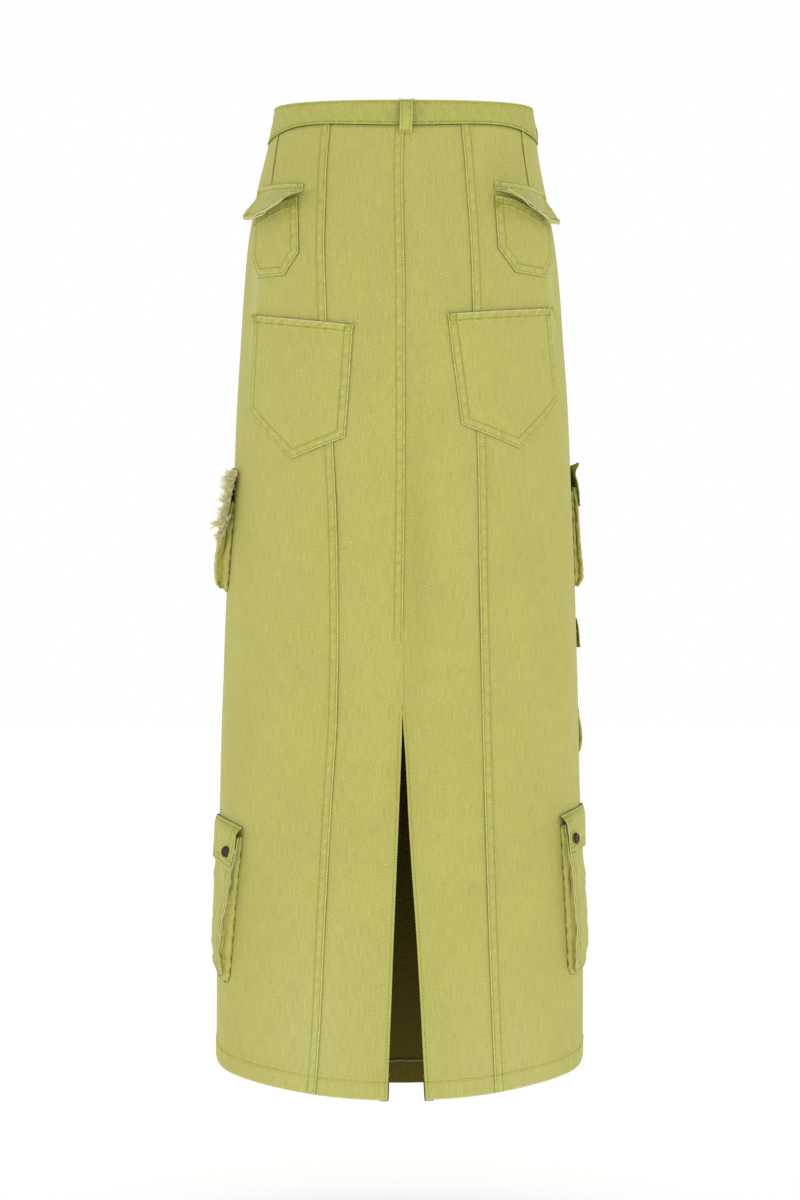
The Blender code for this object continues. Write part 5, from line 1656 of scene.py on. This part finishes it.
for seed, (name, cargo) in zip(range(90, 140, 10), CARGO.items()):
    cover, panel_name = COVERS[name], side_panel(name)
    surface = face_surface(cargo, seed)
    cloth_sheet(f"cloth_{name}_face", lines_across(34), cargo_rows, face_place(cargo, surface),
                name + "_face", FACE_LAYER)
    strip, count = strip_place(cargo, seed + 1, seed, PLEAT_DEPTH)
    middle = skin(*on_pocket(cargo, cargo.width / 2, cargo.depth / 2), 3 * MM)
    cloth_sheet(f"cloth_{name}_gusset", spaced(0, 1, count), strip_rows, strip, name + "_gusset",
                STRIP_LAYER, away=middle)
    fringed = name == "mid_cargo_left"
    flap = cover_place(cargo, cover, seed + 4, fringed)
    cloth_sheet(f"cloth_{name}_flap", lines_across(34), cover_rows, flap, name + "_flap",
                COVER_LAYER, lined=True)
    sewing = measures_place(surface)
    for distance in FACE_ROWS:
        sew("pockets", sewing, *along_run(inset(surface.outline, -distance)))
    across = measured(0, cargo.width + 2 * MM, 60)
    sew("pockets", flap, across, (0.0, COVER_TOP_ROW))
    for distance in COVER_ROWS:
        sew("pockets", flap, across, (1.0, -distance))
        for column in ([(1.0, -distance)] if fringed else [(0.0, distance), (1.0, -distance)]):
            sew("pockets", flap, column, measured(0.002, cover.length - distance, 30))
    for column, spot in (((0.0, TACK_IN), TACK_IN), ((1.0, -TACK_IN), cargo.width - TACK_IN)):
        bartack("tacks", flap, column, (0.0, COVER_TOP_ROW), True, 6 * MM)
        bartack("tacks", sewing, (spot, 0.0), (2.5 * MM, 0.0), True, 5 * MM)
    print(name, "face cut", *made_sheets[f"cloth_{name}_face"])

# %% [markdown]
# ## The frayed end
# The left middle flap was left raw at its back end, and washing has worked its crosswise yarns loose into a
# thick pale fringe. The strands stand out from a narrow strip beside the flap. Each is a thin tapered tube
# with a bend of its own; one is shaped, and about a thousand copies are bent by numpy in one mesh.

# %% One strand and its copies
STRAND_RINGS = 5
STRAND_SIDES = 4


def strand_shape():
    """One strand: a tube of unit length along Z, as rings of a few points that narrow to a tip."""
    bm = bmesh.new()
    bmesh.ops.create_cone(bm, cap_ends=True, segments=STRAND_SIDES, radius1=1.0, radius2=0.3, depth=1.0)
    for vert in bm.verts:
        vert.co.z += 0.5
    upright = [edge for edge in bm.edges if abs(edge.verts[0].co.z - edge.verts[1].co.z) > 0.5]
    bmesh.ops.subdivide_edges(bm, edges=upright, cuts=STRAND_RINGS, use_grid_fill=True)
    return mesh_of(bm, "strand")


def copies(shape, count, name):
    """A mesh of many copies of a small one, and where the points of the small one are."""
    bm = bmesh.new()
    for _ in range(count):
        bm.from_mesh(shape)
    return mesh_of(bm, name), triples(shape.vertices)


def bent_strands(name, roots, ways, lengths, widths, bends, finish):
    """Strands from roots along ways. bends says how far each tip drifts sideways."""
    mesh, base = copies(strand_shape(), len(roots), name)
    ways = unit(ways)
    side = unit(np.cross(ways, (0.13, 0.31, 0.94)))
    other = np.cross(ways, side)
    rise = base[None, :, 2:3]
    points = (roots[:, None] + ways[:, None] * rise * lengths[:, None, None]
              + bends[:, None] * rise ** 2
              + (side[:, None] * base[None, :, 0:1] + other[:, None] * base[None, :, 1:2])
              * widths[:, None, None])
    put_points(mesh, points)
    return add_object(name, mesh, (finish,))


print("a strand is a tube of", STRAND_SIDES, "sides, cut", STRAND_RINGS, "times")

# %% The fringe
FRAY_STRIP = 4.2 * MM
FRAY_START = 1 * MM
FRAY_LENGTH = 16 * MM
STRANDS = 1100
CLUMPS = 48
STRAND_WIDTH = 0.42 * MM
rng = np.random.default_rng(7)
cargo, cover = CARGO["mid_cargo_left"], COVERS["mid_cargo_left"]
clump = rng.integers(0, CLUMPS, STRANDS)
along = FRAY_START + (cover.length - FRAY_START) * (clump + rng.normal(0.5, 0.45, STRANDS)) / CLUMPS
along = np.clip(along, FRAY_START, cover.length)
across = -cover.back_overhang - rng.random(STRANDS) * FRAY_STRIP
fray_out = cover_out(cargo, cover, across, along) + COVER_THICK * (0.35 + 0.5 * rng.random(STRANDS))


def beside_flap(inward, outward_too):
    """The roots' places on the strip, moved towards the flap and off the skirt."""
    return skin(*on_pocket(cargo, across + inward, along - cover.above), fray_out + outward_too)


roots = beside_flap(1.5 * MM, 0)
straight_out = unit(beside_flap(0, 10 * MM) - roots)
straight_back = unit(beside_flap(-10 * MM, 0) - roots)
lean = rng.normal(0, 0.40, (CLUMPS, 1))[clump] + rng.normal(0, 0.15, (STRANDS, 1))
ways = straight_out * (0.92 + lean * 0.3) + straight_back * (0.36 - lean * 0.5)
ways = ways + rng.normal(0, 0.28, (CLUMPS, 3))[clump] + rng.normal(0, 0.12, (STRANDS, 3))
lengths = rng.normal(0.70, 0.14, CLUMPS)[clump] + rng.normal(0, 0.12, STRANDS)
lengths = FRAY_LENGTH * np.clip(lengths, 0.25, 1.0)
bends = rng.normal(0, 2.6 * MM, (CLUMPS, 3))[clump] + rng.normal(0, 1.0 * MM, (STRANDS, 3))
bends[:, 2] += 2.0 * MM * (1 - 2.0 * along / cover.length)
widths = STRAND_WIDTH * (0.7 + 0.5 * rng.random(STRANDS))
fringe = bent_strands("frayed_end", roots, ways, lengths, widths, bends, FRAYED)
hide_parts("mid_cargo_left_fray")
print(STRANDS, "strands,", len(fringe.data.polygons), "faces")

# %% [markdown]
# ## Tufts and thread tails
# The back loop's raw upper corners fray into small tufts, and here and there a topstitching thread was left
# long. Both are strands like the fringe's, only a few of them and each with its own root.

# %% Tufts and tails
def strands_from(name, rooted, per_root, spread, length, width, droop, finish, seed):
    """Small bunches of strands. rooted holds a point and a way for each bunch."""
    rng = np.random.default_rng(seed)
    count = len(rooted) * per_root
    points = np.repeat([point for point, _ in rooted], per_root, axis=0)
    ways = np.repeat([way for _, way in rooted], per_root, axis=0)
    ways = unit(ways) + rng.normal(0, spread, (count, 3))
    bends = rng.normal(0, 0.25, (count, 3)) * length
    bends[:, 2] -= droop * length
    lengths = length * rng.uniform(0.5, 1.0, count)
    points = points + rng.normal(0, 0.5 * MM, (count, 3))
    piece = bent_strands(name, points, ways, lengths, np.full(count, width), bends, finish)


loop = loop_places["belt_loop_back"]
corners = loop(np.array([(0.04, 0.0), (0.3, 0.0), (0.96, 0.0), (0.8, 0.0)]), np.zeros((4, 2)))[0]
TUFTS = [*zip(corners, ((-0.9, -0.4, 0.2), (-0.3, -0.8, -0.1), (0.9, -0.4, 0.2), (0.3, -0.8, -0.1))),
         (skin(-0.0530, -0.2180, 3 * MM), (0.1, -0.5, 0.9)),
         (skin(-0.1090, -0.0800, 4 * MM), (0.5, -0.6, 0.4))]
strands_from("frayed_corners", TUFTS, 22, 0.35, 3.8 * MM, 0.20 * MM, 0.3, FRAYED, 3)
TAILS = [(-0.1125, -0.0885), (-0.1145, -0.0880), (-0.1225, -0.0915), (0.1000, -0.0900), (0.1015, -0.0930),
         (-0.0520, -0.2180), (-0.1690, -0.2050), (-0.1660, -0.2050), (0.0480, -0.2060), (0.1690, -0.1970)]
tail_points = skin(*np.array(TAILS).T, 5.0 * MM)
hanging = [(point, (0.10, -0.25, -0.9)) for point in tail_points]
strands_from("thread_tails", hanging, 4, 0.22, 9 * MM, 0.30 * MM, 0.5, THREAD, 5)
print("tufts and", len(TAILS), "bunches of thread tails")

# %% [markdown]
# ## Snap buttons and the waist button
# The low pockets' flaps close with small domed metal snaps. A snap is round, so half of its section is drawn
# as a few points and spun about its axis, the way a lathe would turn it.

# %% Spin the buttons
BUTTON_SECTION = [(0.0, 2.35), (1.4, 2.25), (2.5, 2.05), (3.0, 2.15), (3.4, 2.62), (4.0, 2.92), (4.7, 2.92),
                  (5.35, 2.55), (5.85, 1.90), (6.0, 1.35), (5.9, 0.85), (5.2, 0.55), (0.0, 0.5)]
BUTTON_RADIUS = 6 * MM
BUTTON_CLEAR = 0.7 * MM    # its flat back lies on rounded cloth
BUTTON_BACK = 0.5 * MM     # where the section's flat back is
WAIST_BUTTON = 1.4         # the waist button's size beside the snaps'
BUTTON_IN, BUTTON_UP = 12 * MM, 16 * MM


def make_button(name, seat, up, size):
    """A domed button with a sunk middle and a rolled rim, its back at seat and facing up."""
    up = unit(np.array(up, float))
    side = unit(np.cross(up, (0, 0, 1)))
    other = np.cross(up, side)
    bm = bmesh.new()
    corners = [bm.verts.new((reach * MM * size, 0, rise * MM * size)) for reach, rise in BUTTON_SECTION]
    edges = [bm.edges.new(pair) for pair in zip(corners, corners[1:])]
    bmesh.ops.spin(bm, geom=corners + edges, cent=(0, 0, 0), axis=(0, 0, 1), angle=2 * math.pi, steps=32,
                   use_merge=True)
    bmesh.ops.remove_doubles(bm, verts=bm.verts[:], dist=0.01 * MM)
    bmesh.ops.recalc_face_normals(bm, faces=bm.faces[:])
    mesh = mesh_of(bm, name)
    flat = triples(mesh.vertices)
    rise = flat[:, 2:3] + (BUTTON_CLEAR - BUTTON_BACK) * size
    put_points(mesh, seat + side * flat[:, 0:1] + other * flat[:, 1:2] + up * rise)
    piece = add_object("metal_" + name, mesh, (METAL,))
    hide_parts(name)


for name in ("low_cargo_left", "low_cargo_right"):
    cargo, cover = CARGO[name], COVERS[name]
    along = cover.length - BUTTON_UP

    def flap_face(across, down):
        measures = on_pocket(cargo, across, down - cover.above)
        return skin(*measures, cover_out(cargo, cover, across, down) + COVER_THICK)

    for end, across in (("back", BUTTON_IN), ("front", cargo.width - BUTTON_IN)):
        seat = flap_face(across, along)
        beside = flap_face(across + BUTTON_RADIUS, along) - seat
        below = flap_face(across, along + BUTTON_RADIUS) - seat
        towards_back = 0.7 if name == "low_cargo_left" and end == "back" else 0.0
        up = unit(np.cross(below, beside) * cargo.side) - (0, towards_back, 0)
        make_button(f"{name}_button_{end}", seat, up, 1.0)
seat = skin(WAIST_GIRTH, 0.0, BAND_OUT + BAND_THICK + UNDERLAP_CLEAR)
make_button("waist_button", seat, (0, 1, 0), WAIST_BUTTON)
print("five buttons spun")

# %% [markdown]
# ## The front closing
# The front isn't seen, so it is kept plain: a fly strip below the band, sewn with two rows that curve in at
# its foot, and one button over the overlap of the waistband.

# %% The fly
FLY_WIDTH, FLY_LENGTH, FLY_BELOW, FLY_TAPER = 36 * MM, 150 * MM, 4 * MM, 0.75
FLY_ROWS = (2 * MM, 6 * MM)


def fly_place(columns, rows):
    part = rows[:, 0] + rows[:, 1] / FLY_LENGTH
    height = WAIST_SEAM - FLY_BELOW - FLY_LENGTH * part
    narrowed = 0.5 * np.clip((part - FLY_TAPER) / (1 - FLY_TAPER), 0, 1)
    width = FLY_WIDTH * (1 - narrowed)
    across = (columns[:, 0] - 0.5) * width + columns[:, 1] * (1 - narrowed)
    around = half_girth(height) + across
    edge = np.minimum(width / 2 - np.abs(across), FLY_LENGTH * (1 - part))
    relief, wear_and_shading = over_edge(edge, height, 160, rows=FLY_ROWS, strength=0.7, rim=0.3)
    return skin(around, height, LAY + CLOTH + relief), np.stack([around, height], axis=1), wear_and_shading


fly_rows = np.array(spread_lines(np.linspace(0, 0.93, 40), 0.0, 0.0)
                    + before_end([9.3, 8, 7, 6.2, 5.4, 4.4, 3.4, 2.6, 1.9, 1.3, 0.8, 0.4, 0]))
cloth_sheet("cloth_fly_placket", lines_across(8), fly_rows, fly_place, "fly_placket")
for distance in FLY_ROWS:
    for column in ((0.0, distance), (1.0, -distance)):
        sew("front", fly_place, column, spaced(0, 0.97, 60))
sew("front", fly_place, spaced(0.12, 0.88, 12), (1.0, -FLY_ROWS[0]))
print("fly cut", *made_sheets["cloth_fly_placket"])

# %% [markdown]
# ## All the thread
# The rows that were collected while sewing become meshes now, one for each group. Every stitch is a copy of
# one small bead that is stretched along its seam and half sunk in the cloth.

# %% Make the stitches
bm = bmesh.new()
bmesh.ops.create_icosphere(bm, subdivisions=1, radius=0.5)
bead = mesh_of(bm, "bead")
for group, rows in threads.items():
    centres, alongs, normals, sizes = (np.concatenate([row[at] for row in rows]) for at in range(4))
    mesh, base = copies(bead, len(centres), "thread_" + group)
    asides = unit(np.cross(normals, alongs))
    points = centres[:, None] + normals[:, None] * 0.12 * MM
    for axis, ways in enumerate((alongs, asides, normals)):
        points = points + ways[:, None] * base[None, :, axis:axis + 1] * sizes[:, None, axis:axis + 1]
    put_points(mesh, points)
    add_object("thread_" + group, mesh, (THREAD,))
    print(group, len(centres), "stitches")

# %% [markdown]
# ## Last step
# The box round the dressed skirt is printed beside the box of the bare frame, so that the two can be
# compared.

# %% Print the two boxes
shown_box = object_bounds()
for words, box in (("frame", cad_box), ("dressed", shown_box)):
    print(words, [round(high - low, 4) for low, high in zip(*box)])
